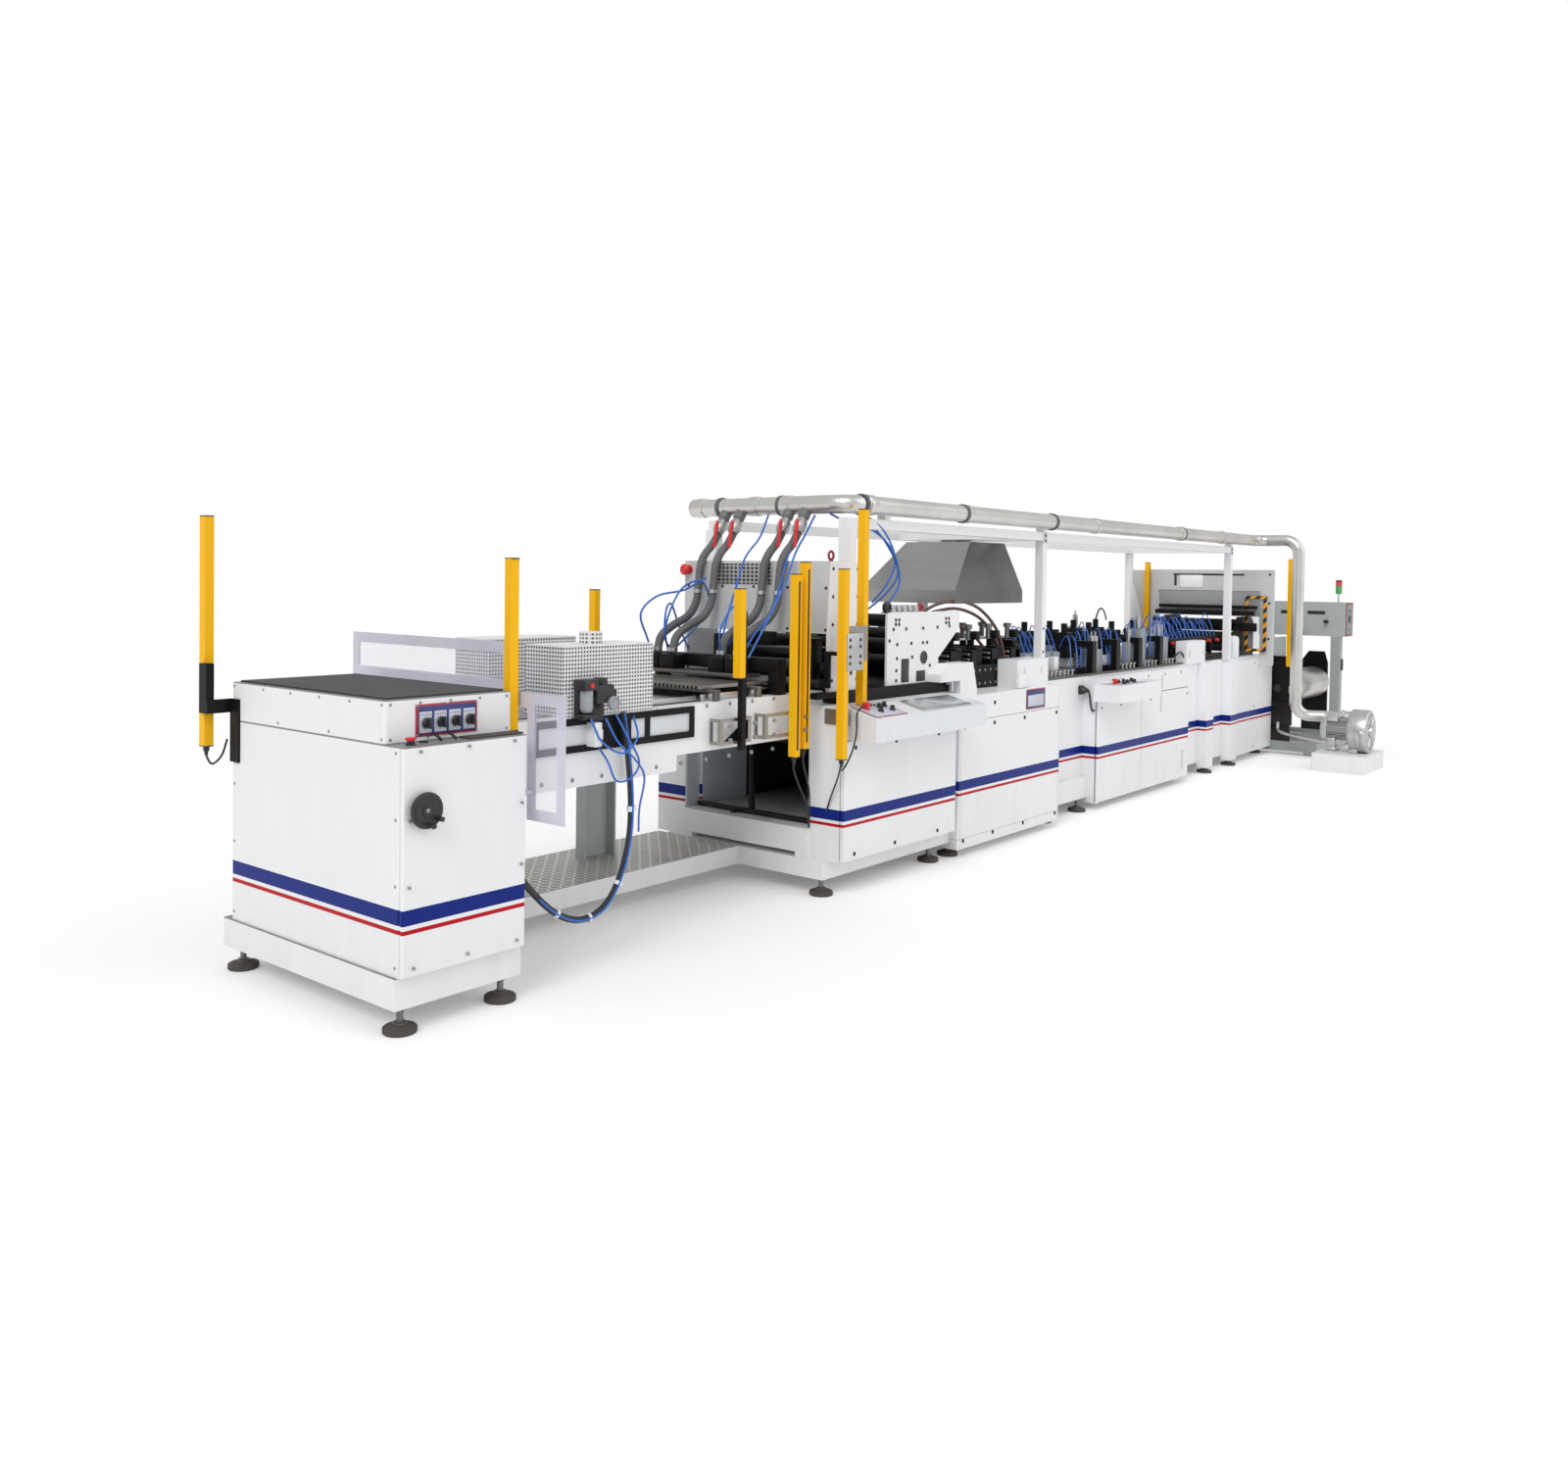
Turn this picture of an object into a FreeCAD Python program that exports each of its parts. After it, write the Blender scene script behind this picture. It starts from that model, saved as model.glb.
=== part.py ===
import FreeCAD, Part
import Sketcher
import math
import os
import re

# Pouch making line, seen from the operator side.
# X runs from the delivery end to the unwind end, Y from the operator side to the far side, Z up.
# Places in the sheet are measured from the delivery end, from the operator face of the stacker
# and from the floor. The model's own origin is on the floor under the middle of the line.

doc = FreeCAD.newDocument("pouch_line")
sheet = doc.addObject("Spreadsheet::Sheet", "sizes")

SIZES = [
    # The line as a whole
    ("middle_x", 5018.65),
    ("middle_y", 159.5),
    ("line_centre", 556.0),
    ("fit_gap", 0.3),
    # Lengths of the stations along the line
    ("stacker_length", 494.0),
    ("delivery_length", 1835.0),
    ("console_length", 1001.0),
    ("console_gap", 96.0),
    ("drive_length", 1177.0),
    ("recess_length", 649.0),
    ("seal_length", 1571.0),
    ("feed_length", 1158.0),
    ("infeed_length", 924.0),
    # Levelling feet
    ("pad_radius", 55.0),
    ("pad_rim", 12.0),
    ("pad_height", 26.0),
    ("hub_radius", 24.0),
    ("stem_radius", 11.0),
    # Stacker
    ("stacker_depth", 1058.0),
    ("stacker_floor", 192.0),
    ("stacker_seam", 920.0),
    ("stacker_top", 1060.0),
    ("stacker_ledge", 103.0),
    ("stacker_nose", 18.0),
    ("cabinet_edge", 12.0),
    ("cover_thick", 18.0),
    ("cover_step", 4.0),
    ("base_low", 87.0),
    ("base_margin", 14.0),
    ("base_shift", 30.0),
    ("base_wall", 90.0),
    ("mat_thick", 6.0),
    ("mat_inset", 24.0),
    ("mat_front", 135.0),
    ("mat_wide", 905.0),
    ("panel_x", 116.0),
    ("panel_wide", 245.0),
    ("panel_low", 935.0),
    ("panel_tall", 105.0),
    ("panel_thick", 5.0),
    ("knob_radius", 16.0),
    ("knob_length", 28.0),
    ("knob_pitch", 58.0),
    ("stop_x", 62.0),
    ("stop_radius", 19.0),
    ("stop_tall", 24.0),
    ("wheel_x", 70.0),
    ("wheel_z", 720.0),
    ("wheel_radius", 58.0),
    ("wheel_deep", 26.0),
    ("wheel_boss", 14.0),
    ("wheel_offset", 8.0),
    # Light curtains and their brackets
    ("curtain_wide", 34.0),
    ("curtain_deep", 40.0),
    ("curtain_long", 835.0),
    ("lead_out", 151.0),
    ("lead_in", 67.0),
    ("stay_back", 142.0),
    ("stay_gap", 7.0),
    ("stay_wide", 261.0),
    ("stay_far", 496.0),
    ("stay_slim", 204.0),
    ("stay_bar", 588.0),
    ("bracket_thick", 8.0),
    ("bracket_wide", 60.0),
    # Clear guard beside the stacker
    ("guard_plate_x", 562.0),
    ("guard_plate_thick", 8.0),
    ("guard_plate_front", -114.0),
    ("guard_plate_leg", 78.0),
    ("guard_plate_step", 148.0),
    ("guard_plate_back", 1155.0),
    ("guard_plate_low", 608.0),
    ("guard_plate_band", 1000.0),
    ("guard_plate_mid", 1052.0),
    ("guard_plate_top", 1226.0),
    ("spacer_radius", 8.0),
    # Delivery conveyor
    ("beam_front", 171.0),
    ("beam_low", 671.0),
    ("beam_seam", 735.0),
    ("beam_top", 937.0),
    ("beam_deep", 60.0),
    ("skirt_long", 917.0),
    ("window_x", 660.0),
    ("window_long", 865.0),
    ("window_low", 803.0),
    ("window_tall", 128.0),
    ("window_rim", 26.0),
    ("window_thick", 10.0),
    ("bed_low", 760.0),
    ("bed_thick", 40.0),
    ("belt_roller", 38.0),
    ("belt_thick", 4.0),
    ("belt_wide", 560.0),
    ("belt_inset", 40.0),
    ("guard_x", 807.0),
    ("guard_shift", 98.0),
    ("guard_long", 477.0),
    ("guard_deep", 212.0),
    ("guard_tall", 265.0),
    ("guard_sheet", 4.0),
    ("cap_radius", 45.0),
    ("cap_tall", 46.0),
    ("service_x", 855.0),
    ("service_low", 942.0),
    ("service_plate", 12.0),
    ("bowl_radius", 24.0),
    ("walk_front", 570.0),
    ("walk_wide", 530.0),
    ("walk_low", 82.0),
    ("walk_top", 167.0),
    ("walk_rim", 60.0),
    ("walk_plate", 5.0),
    ("column_x", 1586.0),
    ("column_wide", 194.0),
    ("column_wall", 10.0),
    ("cable_y", 140.0),
    ("cable_radius", 12.5),
    # Frame of the line and base of the head
    ("side_front", 171.0),
    ("side_thick", 20.0),
    ("side_low", 80.0),
    ("side_start", 101.0),
    ("table_top", 853.0),
    ("deck_thick", 20.0),
    ("head_bed", 912.0),
    ("head_base_x", 29.0),
    ("head_base_front", 65.0),
    ("base_beam", 90.0),
    ("cross_low", 190.0),
    ("cross_top", 305.0),
    ("cross_wide", 120.0),
    ("tie_wide", 100.0),
    ("rail_tall", 136.0),
    ("rail_proud", 36.0),
    ("channel_wide", 150.0),
    ("channel_front", 100.0),
    ("first_channel", 470.0),
    # Cabinets and doors
    ("console_front", -28.0),
    ("console_top", 880.0),
    ("cabinet_wall", 16.0),
    ("door_thick", 18.0),
    ("door_rest", 5.0),
    ("door_clear", 6.0),
    ("pin_radius", 7.0),
    ("pin_inset", 10.0),
    ("desk_low", 728.0),
    ("desk_front_top", 836.0),
    ("desk_reach", 150.0),
    ("desk_shift", 33.0),
    ("desk_long", 1000.0),
    ("drive_front", 13.0),
    ("drive_low", 47.0),
    ("seal_front", 63.0),
    ("seal_low", 44.0),
    ("seal_fold", 706.0),
    ("seam_share", 690.0),
    ("mullion", 40.0),
    ("small_desk_shift", 77.0),
    ("small_desk_long", 660.0),
    ("small_desk_reach", 175.0),
    ("small_desk_tall", 110.0),
    ("infeed_front", 114.0),
    ("infeed_low", 63.0),
    ("infeed_top", 837.0),
    # Head
    ("slide_x", 2261.0),
    ("slide_long", 1113.0),
    ("slide_front", 80.0),
    ("slide_wide", 40.0),
    ("slide_tall", 27.0),
    ("portal_x", 51.0),
    ("portal_deep", 240.0),
    ("portal_front", 100.0),
    ("portal_wall", 20.0),
    ("portal_sill", 1207.0),
    ("portal_top", 1545.0),
    ("holed_x", 531.0),
    ("holed_low_long", 484.0),
    ("holed_top_long", 693.0),
    ("holed_knee", 1060.0),
    ("holed_shoulder", 1208.0),
    ("holed_top", 1300.0),
    ("holed_thick", 12.0),
    ("vacuum_x", 2090.0),
    ("vacuum_low", 1040.0),
    ("vacuum_beam", 60.0),
    ("vacuum_box", 90.0),
    ("vacuum_tall", 70.0),
    # Sealing press and fume hood
    ("housing_top", 1030.0),
    ("housing_long", 368.0),
    ("block_shift", 440.0),
    ("block_long", 380.0),
    ("block_tall", 157.0),
    ("press_first", 240.0),
    ("press_pitch", 230.0),
    ("press_bar", 60.0),
    ("press_tall", 170.0),
    ("ram_radius", 22.0),
    ("hood_back", 760.0),
    ("hood_long", 805.0),
    ("hood_front", 300.0),
    ("hood_wide", 640.0),
    ("hood_low", 1330.0),
    ("hood_rim", 75.0),
    ("hood_top", 1690.0),
    ("hood_wall", 4.0),
    ("hood_neck", 337.0),
    ("hood_crown", 51.0),
    ("hood_side", 100.0),
    ("duct_radius", 90.0),
    ("duct_tall", 100.0),
    # Overhead frame and suction pipe
    ("post_side", 50.0),
    ("post_front", 120.0),
    ("over_low", 1705.0),
    ("over_tall", 50.0),
    ("over_back", 121.0),
    ("pipe_radius", 45.0),
    ("pipe_z", 1820.0),
    ("pipe_y", 115.0),
    ("cross_pipe_x", 2560.0),
    ("cross_pipe_end", 1114.0),
    ("elbow_radius", 110.0),
    ("sleeve_wall", 6.0),
    ("sleeve_long", 60.0),
    ("drop_x", 8390.0),
    ("drop_y", -230.0),
    ("drop_low", 395.0),
    ("hose_radius", 22.0),
    ("hose_bend", 60.0),
    ("valve_radius", 28.0),
    ("valve_low", 1700.0),
    # Punches and rails on the table
    ("feed_rail_wide", 30.0),
    ("feed_rail_tall", 45.0),
    ("punch_first", 180.0),
    ("punch_pitch", 380.0),
    ("punch_bar", 60.0),
    ("punch_tall", 180.0),
    # Web guide
    ("web_x", 8545.0),
    ("web_deep", 40.0),
    ("web_front", 10.0),
    ("web_low", 779.0),
    ("web_beam", 1400.0),
    ("web_top", 1578.0),
    ("wing_x", 8150.0),
    ("wing_low", 1000.0),
    ("wing_top", 1570.0),
    ("flap_x", 8522.0),
    ("flap_thick", 8.0),
    ("flap_front", 60.0),
    ("flap_back", 229.0),
    ("flap_low", 890.0),
    ("flap_top", 1360.0),
    ("guide_start", 240.0),
    ("guide_long", 560.0),
    ("guide_tall", 330.0),
    ("guide_inset", 50.0),
    ("guide_roller", 32.0),
    # Blower
    ("plinth_x", 8080.0),
    ("plinth_long", 580.0),
    ("plinth_y", -836.0),
    ("plinth_wide", 390.0),
    ("plinth_tall", 140.0),
    ("fan_x", 8370.0),
    ("fan_z", 310.0),
    ("fan_radius", 160.0),
    ("fan_deep", 150.0),
    ("motor_radius", 84.0),
    ("motor_long", 180.0),
    ("fin_tall", 14.0),
    ("fin_thick", 6.0),
    ("port_x", 8480.0),
    ("port_radius", 55.0),
    ("port_long", 60.0),
    # Unwinder
    ("unwind_long", 1230.0),
    ("unwind_y", -260.0),
    ("unwind_wide", 686.0),
    ("unwind_pad", 30.0),
    ("unwind_beam", 100.0),
    ("unwind_tall", 80.0),
    ("roll_y", 83.0),
    ("roll_z", 560.0),
    ("roll_radius", 140.0),
    ("roll_margin", 40.0),
    ("shaft_radius", 38.0),
    ("arm_inset", 35.0),
    ("arm_thick", 20.0),
    ("arm_half", 111.0),
    ("arm_top", 841.0),
    ("arm_apart", 1120.0),
    ("motor_low", 250.0),
    ("motor_tall", 198.0),
    ("motor_wide", 183.0),
    ("motor_deep", 25.0),
    ("box_x", 9600.0),
    ("box_long", 237.0),
    ("box_front", -291.0),
    ("box_low", 1001.0),
    ("box_top", 1305.0),
    ("mast_side", 80.0),
    ("mast_reach", 333.0),
    ("lamp_y", -219.0),
    ("lamp_radius", 26.0),
    ("lamp_stem", 77.0),
    ("lamp_tall", 122.0),
]

for row, (alias, value) in enumerate(SIZES, start=1):
    sheet.set("A%d" % row, alias)
    sheet.set("B%d" % row, str(value))
    sheet.setAlias("B%d" % row, alias)
doc.recompute()

ALIASES = {alias for alias, value in SIZES}
NODES = []

# Places that follow from the sizes
NOSE_X = "(stacker_length + stacker_nose)"
HEAD_X = "(stacker_length + delivery_length)"
CONSOLE_END = "(%s + console_length)" % HEAD_X
DRIVE_X = "(%s + console_gap)" % CONSOLE_END
DRIVE_END = "(%s + drive_length)" % DRIVE_X
SEAL_X = "(%s + recess_length)" % DRIVE_END
SEAL_END = "(%s + seal_length)" % SEAL_X
INFEED_X = "(%s + feed_length)" % SEAL_END
INFEED_END = "(%s + infeed_length)" % INFEED_X
SIDE_X = "(%s + side_start)" % HEAD_X
HEAD_LONG = "(console_length + console_gap - side_start)"
FAR_WALL = "(2 * line_centre - side_front)"
INNER_FRONT = "(side_front + side_thick)"
INNER_WIDE = "(2 * (line_centre - side_front - side_thick))"
SLIDE_TOP = "(head_bed + slide_tall)"
FAN_BACK = "(plinth_y + plinth_wide - motor_long)"
UNWIND_X = "(%s + fit_gap)" % INFEED_END
ARM_X = "(%s + arm_inset)" % UNWIND_X

probe = doc.addObject("App::FeaturePython", "probe")
probe.addProperty("App::PropertyFloat", "total")


def cell(text):
    """Put the sheet's name before each size that a sum names."""
    words = re.compile(r"[a-z][a-z_]*")
    return words.sub(lambda word: "sizes." + word.group(0) if word.group(0) in ALIASES else word.group(0), str(text))


def amount(text):
    """What a sum of sizes comes to, in millimetres."""
    probe.setExpression("total", cell(text))
    probe.recompute()
    return probe.total


def bind(piece, name, text):
    piece.setExpression(name, cell(text))


def place(piece, corner):
    """Put a piece at a place of the line, measured from the delivery end."""
    bind(piece, "Placement.Base.x", "%s - middle_x" % corner[0])
    bind(piece, "Placement.Base.y", "%s - middle_y" % corner[1])
    bind(piece, "Placement.Base.z", corner[2])


def turn(piece, axis):
    """Turn a piece made along Z so that it lies along another axis."""
    turns = {
        "x": FreeCAD.Rotation(FreeCAD.Vector(0, 1, 0), 90),
        "y": FreeCAD.Rotation(FreeCAD.Vector(1, 0, 0), -90),
        "-y": FreeCAD.Rotation(FreeCAD.Vector(1, 0, 0), 90),
    }
    if axis in turns:
        piece.Placement.Rotation = turns[axis]


def far(y, deep):
    """The near corner of a piece's twin on the far side of the line's centre."""
    return "(2 * line_centre - (%s) - (%s))" % (y, deep)


def box(corner, size):
    piece = doc.addObject("Part::Box", "box")
    for name, text in zip(("Length", "Width", "Height"), size):
        bind(piece, name, text)
    place(piece, corner)
    return piece


def twin_boxes(corner, size):
    """A box and its twin on the far side."""
    return [box(corner, size), box((corner[0], far(corner[1], size[1]), corner[2]), size)]


def rod(axis, start, length, radius, sides=None):
    """A round rod, or a many-sided one for a small piece that repeats."""
    if sides:
        piece = doc.addObject("Part::Prism", "rod")
        piece.Polygon = sides
        bind(piece, "Circumradius", radius)
    else:
        piece = doc.addObject("Part::Cylinder", "rod")
        bind(piece, "Radius", radius)
    bind(piece, "Height", length)
    turn(piece, axis)
    place(piece, start)
    return piece


def unite(pieces):
    piece = doc.addObject("Part::MultiFuse", "group")
    piece.Shapes = pieces
    piece.Refine = True
    return piece


def without(base, tools):
    piece = doc.addObject("Part::Cut", "cut")
    piece.Base = base
    piece.Tool = tools[0] if len(tools) == 1 else unite(tools)
    piece.Refine = True
    return piece


def node(label, pieces):
    """Name a sub-part, made of one piece or of several."""
    piece = pieces[0] if len(pieces) == 1 else unite(pieces)
    piece.Label = label
    NODES.append(piece)
    return piece


def profile(body, role, points):
    """A closed outline on one of the body's own planes, each corner held by two sizes."""
    plane = next(item for item in body.Origin.OriginFeatures if item.Role == role)
    sketch = body.newObject("Sketcher::SketchObject", "outline")
    sketch.AttachmentSupport = (plane, [""])
    sketch.MapMode = "FlatFace"
    corners = [FreeCAD.Vector(amount(across), amount(up), 0) for across, up in points]
    count = len(corners)
    for number in range(count):
        sketch.addGeometry(Part.LineSegment(corners[number], corners[(number + 1) % count]))
    for number in range(count):
        sketch.addConstraint(Sketcher.Constraint("Coincident", number, 2, (number + 1) % count, 1))
    for number, point in enumerate(points):
        for kind, text in zip(("DistanceX", "DistanceY"), point):
            index = sketch.addConstraint(Sketcher.Constraint(kind, -1, 1, number, 1, amount(text)))
            sketch.setExpression("Constraints[%d]" % index, cell(text))
    return sketch


def slab(role, outline, thick, corner, cuts=()):
    """A plate cut to an outline, with openings cut through it."""
    body = doc.addObject("PartDesign::Body", "slab")
    pad = body.newObject("PartDesign::Pad", "pad")
    pad.Profile = profile(body, role, outline)
    pad.Reversed = role == "XZ_Plane"
    bind(pad, "Length", thick)
    for cut in cuts:
        pocket = body.newObject("PartDesign::Pocket", "opening")
        pocket.Profile = profile(body, role, cut)
        pocket.Type = "ThroughAll"
        pocket.Midplane = True
    place(body, corner)
    return body


def turned(axis, outline, start):
    """A piece turned about an axis, its outline given as radius and height."""
    body = doc.addObject("PartDesign::Body", "turned")
    sketch = profile(body, "XZ_Plane", outline)
    turning = body.newObject("PartDesign::Revolution", "turning")
    turning.Profile = sketch
    turning.ReferenceAxis = (sketch, ["V_Axis"])
    turning.Angle = 360
    turn(body, axis)
    place(body, start)
    return body


def soft_box(corner, size, radius="cabinet_edge"):
    """A cabinet of bent sheet, with its upright edges rounded."""
    body = doc.addObject("PartDesign::Body", "cabinet")
    block = body.newObject("PartDesign::AdditiveBox", "block")
    for name, text in zip(("Length", "Width", "Height"), size):
        bind(block, name, text)
    doc.recompute()
    edges = body.newObject("PartDesign::Fillet", "edges")
    edges.Base = (block, ["Edge1", "Edge3", "Edge5", "Edge7"])
    bind(edges, "Radius", radius)
    place(body, corner)
    return body


def beam_frame(corner, size, beam):
    """A flat frame of box beams round an open middle."""
    inner = box(
        ("%s + %s" % (corner[0], beam), "%s + %s" % (corner[1], beam), "%s - 1" % corner[2]),
        ("%s - 2 * %s" % (size[0], beam), "%s - 2 * %s" % (size[1], beam), "%s + 2" % size[2]),
    )
    return without(box(corner, size), [inner])


def foot(x, y, top):
    """A levelling foot: pad, hub and hexagonal stem."""
    pad = rod("z", (x, y, "0"), "pad_rim", "pad_radius", 16)
    hub = rod("z", (x, y, "0"), "pad_height", "hub_radius", 12)
    return unite([pad, hub, rod("z", (x, y, "0"), top, "stem_radius", 6)])


def foot_pair(x, front, top):
    """Two feet, one on each side of the line."""
    return [foot(x, front, top), foot(x, "(2 * line_centre - %s)" % front, top)]


def hose(points, radius, bend=None, sides=8):
    """A round hose along straight runs joined by tangent arcs.

    Without a given radius each bend is as wide as leaves a tenth of its shorter run straight.
    """
    edges = []
    here = points[0]
    for before, corner, after in zip(points, points[1:], points[2:]):
        come = (corner - before).normalize()
        leave = (after - corner).normalize()
        half = come.getAngle(leave) / 2
        shorter = min((corner - before).Length, (after - corner).Length)
        size = bend or 0.45 * shorter / math.tan(half)
        if bend is None:
            print("bend radius %.0f" % size)
        first = corner - come * (size * math.tan(half))
        last = corner + leave * (size * math.tan(half))
        inward = (leave - come).normalize()
        middle = corner + inward * (size / math.cos(half) - size)
        edges.append(Part.makeLine(here, first))
        edges.append(Part.Arc(first, middle, last).toShape())
        here = last
    edges.append(Part.makeLine(here, points[-1]))
    circle = Part.makeCircle(radius, points[0], points[1] - points[0])
    ring = Part.makePolygon(circle.discretize(sides + 1))
    piece = doc.addObject("Part::Feature", "hose")
    piece.Shape = Part.Wire(edges).makePipeShell([ring], True, False)
    return piece


def spot(x, y, z):
    """A point of the line in the model's own frame."""
    return FreeCAD.Vector(amount(x) - amount("middle_x"), amount(y) - amount("middle_y"), amount(z))


def curtain(x, y, low, long):
    """A light curtain post, held by its middle on x and y."""
    corner = ("(%s) - curtain_wide / 2" % x, "(%s) - curtain_deep / 2" % y, low)
    return box(corner, ("curtain_wide", "curtain_deep", long))


# Stacker at the delivery end
base_size = ("(stacker_length + base_margin)", "(stacker_depth + 10)", "(stacker_floor - base_low)")
node("stacker_base", [beam_frame(("-base_margin / 2", "base_shift", "base_low"), base_size, "base_wall")])
node(
    "stacker_feet",
    [
        foot(x, y, "base_low")
        for x in ("(base_wall / 2)", "(stacker_length - base_wall / 2)")
        for y in ("(base_shift + base_wall / 2)", "(base_shift + stacker_depth + 10 - base_wall / 2)")
    ],
)
cabinet_size = ("stacker_length", "(stacker_depth - cover_thick)", "(stacker_seam - stacker_floor)")
node("stacker_cabinet", [soft_box(("0", "cover_thick", "stacker_floor"), cabinet_size)])
cover_size = ("stacker_length", "cover_thick", "(stacker_seam - stacker_floor - cover_step)")
node(
    "stacker_cover",
    [
        soft_box(("0", "0", "stacker_floor + cover_step"), cover_size, "cover_thick / 3"),
        rod("y", ("wheel_x", "-wheel_offset", "wheel_z"), "wheel_offset + 1", "wheel_boss"),
    ],
)
head_size = (NOSE_X, "(stacker_depth - stacker_ledge)", "(stacker_top - stacker_seam)")
node("stacker_head", [soft_box(("0", "stacker_ledge", "stacker_seam"), head_size)])
mat_size = ("(%s - mat_inset - cabinet_edge)" % NOSE_X, "mat_wide", "mat_thick")
node("stacker_mat", [box(("mat_inset", "mat_front", "stacker_top"), mat_size)])
panel_face = "stacker_ledge - panel_thick"
controls = [box(("panel_x", panel_face, "panel_low"), ("panel_wide", "panel_thick", "panel_tall"))]
for number in range(4):
    knob_x = "panel_x + panel_wide / 2 + knob_pitch * %s" % (number - 1.5)
    knob_y = "%s - knob_length" % panel_face
    controls.append(rod("y", (knob_x, knob_y, "panel_low + panel_tall * 0.4"), "knob_length", "knob_radius", 12))
stop_place = ("stop_x", "stacker_ledge / 2", "stacker_seam")
controls.append(
    unite(
        [
            rod("z", stop_place, "stop_tall * 0.6", "stop_radius * 0.6", 8),
            rod("z", ("stop_x", "stacker_ledge / 2", "stacker_seam + stop_tall * 0.5"), "stop_tall / 2", "stop_radius", 16),
        ]
    )
)
node("stacker_controls", controls)

# Handwheel of the stack height, a turned wheel with a grip
wheel_face = "-wheel_offset - fit_gap"
wheel_rim = ("wheel_x", "%s - wheel_deep * 0.9" % wheel_face, "wheel_z")
wheel_core = ("wheel_x", "%s - wheel_deep" % wheel_face, "wheel_z")
wheel = unite(
    [
        rod("y", wheel_rim, "wheel_deep * 0.4", "wheel_radius", 24),
        rod("y", wheel_core, "wheel_deep", "wheel_boss * 1.4", 12),
    ]
)
grip_start = ("wheel_x + wheel_radius * 0.65", "%s - wheel_deep * 1.9" % wheel_face, "wheel_z - wheel_radius * 0.5")
node("handwheel", [wheel, rod("y", grip_start, "wheel_deep * 1.2", "wheel_boss * 0.6", 8)])

# Light curtain behind the stacker, on a stepped bracket
rear_corner = "(stacker_depth - bracket_wide)"
step_size = ("98", "bracket_thick", "50")
node(
    "stacker_curtain",
    [
        box(("-bracket_thick", rear_corner, "stacker_seam - 150"), ("bracket_thick", "bracket_wide", "230")),
        box(("-bracket_thick - 90", "stacker_depth - bracket_thick", "stacker_seam + 30"), step_size),
        box(("-bracket_thick - 90", "stacker_depth", "stacker_seam + 30"), ("30", "52", "180")),
        curtain("-bracket_thick - 57", "stacker_depth + 62", "827", "curtain_long"),
    ],
)

# Clear guard beside the stacker, on spacers
guard_outline = [
    ("guard_plate_front", "guard_plate_low"),
    ("guard_plate_leg", "guard_plate_low"),
    ("guard_plate_leg", "guard_plate_band"),
    ("guard_plate_back", "guard_plate_band"),
    ("guard_plate_back", "guard_plate_top"),
    ("guard_plate_step", "guard_plate_top"),
    ("guard_plate_step", "guard_plate_mid"),
    ("guard_plate_front", "guard_plate_mid"),
]
spacers = [
    rod("x", (NOSE_X, y, "guard_plate_band + 30"), "guard_plate_x - %s + 1" % NOSE_X, "spacer_radius", 8)
    for y in ("guard_plate_step + 100", "stacker_depth - 100")
]
low_spacer = ("stacker_length", "guard_plate_leg - 25", "guard_plate_low + 100")
spacers.append(rod("x", low_spacer, "guard_plate_x - stacker_length + 1", "spacer_radius", 8))
node("guard_plate", [slab("YZ_Plane", guard_outline, "guard_plate_thick", ("guard_plate_x", "0", "0"))] + spacers)
node("delivery_curtain", [box((NOSE_X, "stacker_ledge + 8", "stacker_seam"), ("36", "curtain_wide", "601"))])

# Delivery conveyor between the stacker and the head
conveyor_long = "(delivery_length + side_start - stacker_nose)"
beam_outline = [
    ("0", "beam_low"),
    ("skirt_long", "beam_low"),
    ("skirt_long", "beam_seam"),
    (conveyor_long, "beam_seam"),
    (conveyor_long, "beam_top"),
    ("0", "beam_top"),
]
node(
    "delivery_beams",
    [
        slab("XZ_Plane", beam_outline, "beam_deep", (NOSE_X, y, "0"))
        for y in ("beam_front", far("beam_front", "beam_deep"))
    ],
)


def window_frame(y):
    """Black frame with three windows, screwed to a side beam."""
    high = "(window_tall - window_rim)"
    cuts = []
    for start, end in ((0.0, 0.39), (0.58, 0.68), (0.71, 1.0)):
        left = "(window_rim + (window_long - 2 * window_rim) * %s)" % start
        right = "(window_rim + (window_long - 2 * window_rim) * %s)" % end
        cuts.append([(left, "window_rim"), (right, "window_rim"), (right, high), (left, high)])
    outline = [("0", "0"), ("window_long", "0"), ("window_long", "window_tall"), ("0", "window_tall")]
    return slab("XZ_Plane", outline, "window_thick", ("window_x", y, "window_low"), cuts)


node("window_frames", [window_frame("beam_front - window_thick"), window_frame("(2 * line_centre - beam_front)")])
bed_front = "(beam_front + beam_deep)"
bed_wide = "(2 * (line_centre - beam_front - beam_deep))"
belt_z = "(beam_top - belt_roller - belt_thick)"
belt_first = "(%s + belt_inset + belt_roller)" % NOSE_X
belt_last = "(%s - belt_inset - belt_roller)" % SIDE_X
bed_parts = [box((NOSE_X, bed_front, "bed_low"), (conveyor_long, bed_wide, "bed_thick"))]
bed_parts += [rod("y", (x, bed_front, belt_z), bed_wide, "belt_roller") for x in (belt_first, belt_last)]
node("delivery_bed", bed_parts)


def belt_loop(radius):
    """The space that a belt run of this radius fills round both rollers."""
    belt_y = "(line_centre - belt_wide / 2)"
    ends = [rod("y", (x, belt_y, belt_z), "belt_wide", radius) for x in (belt_first, belt_last)]
    corner = (belt_first, belt_y, "%s - %s" % (belt_z, radius))
    middle = box(corner, ("%s - %s" % (belt_last, belt_first), "belt_wide", "2 * %s" % radius))
    return unite(ends + [middle])


node("delivery_belt", [without(belt_loop("(belt_roller + belt_thick)"), [belt_loop("(belt_roller + fit_gap)")])])


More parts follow.
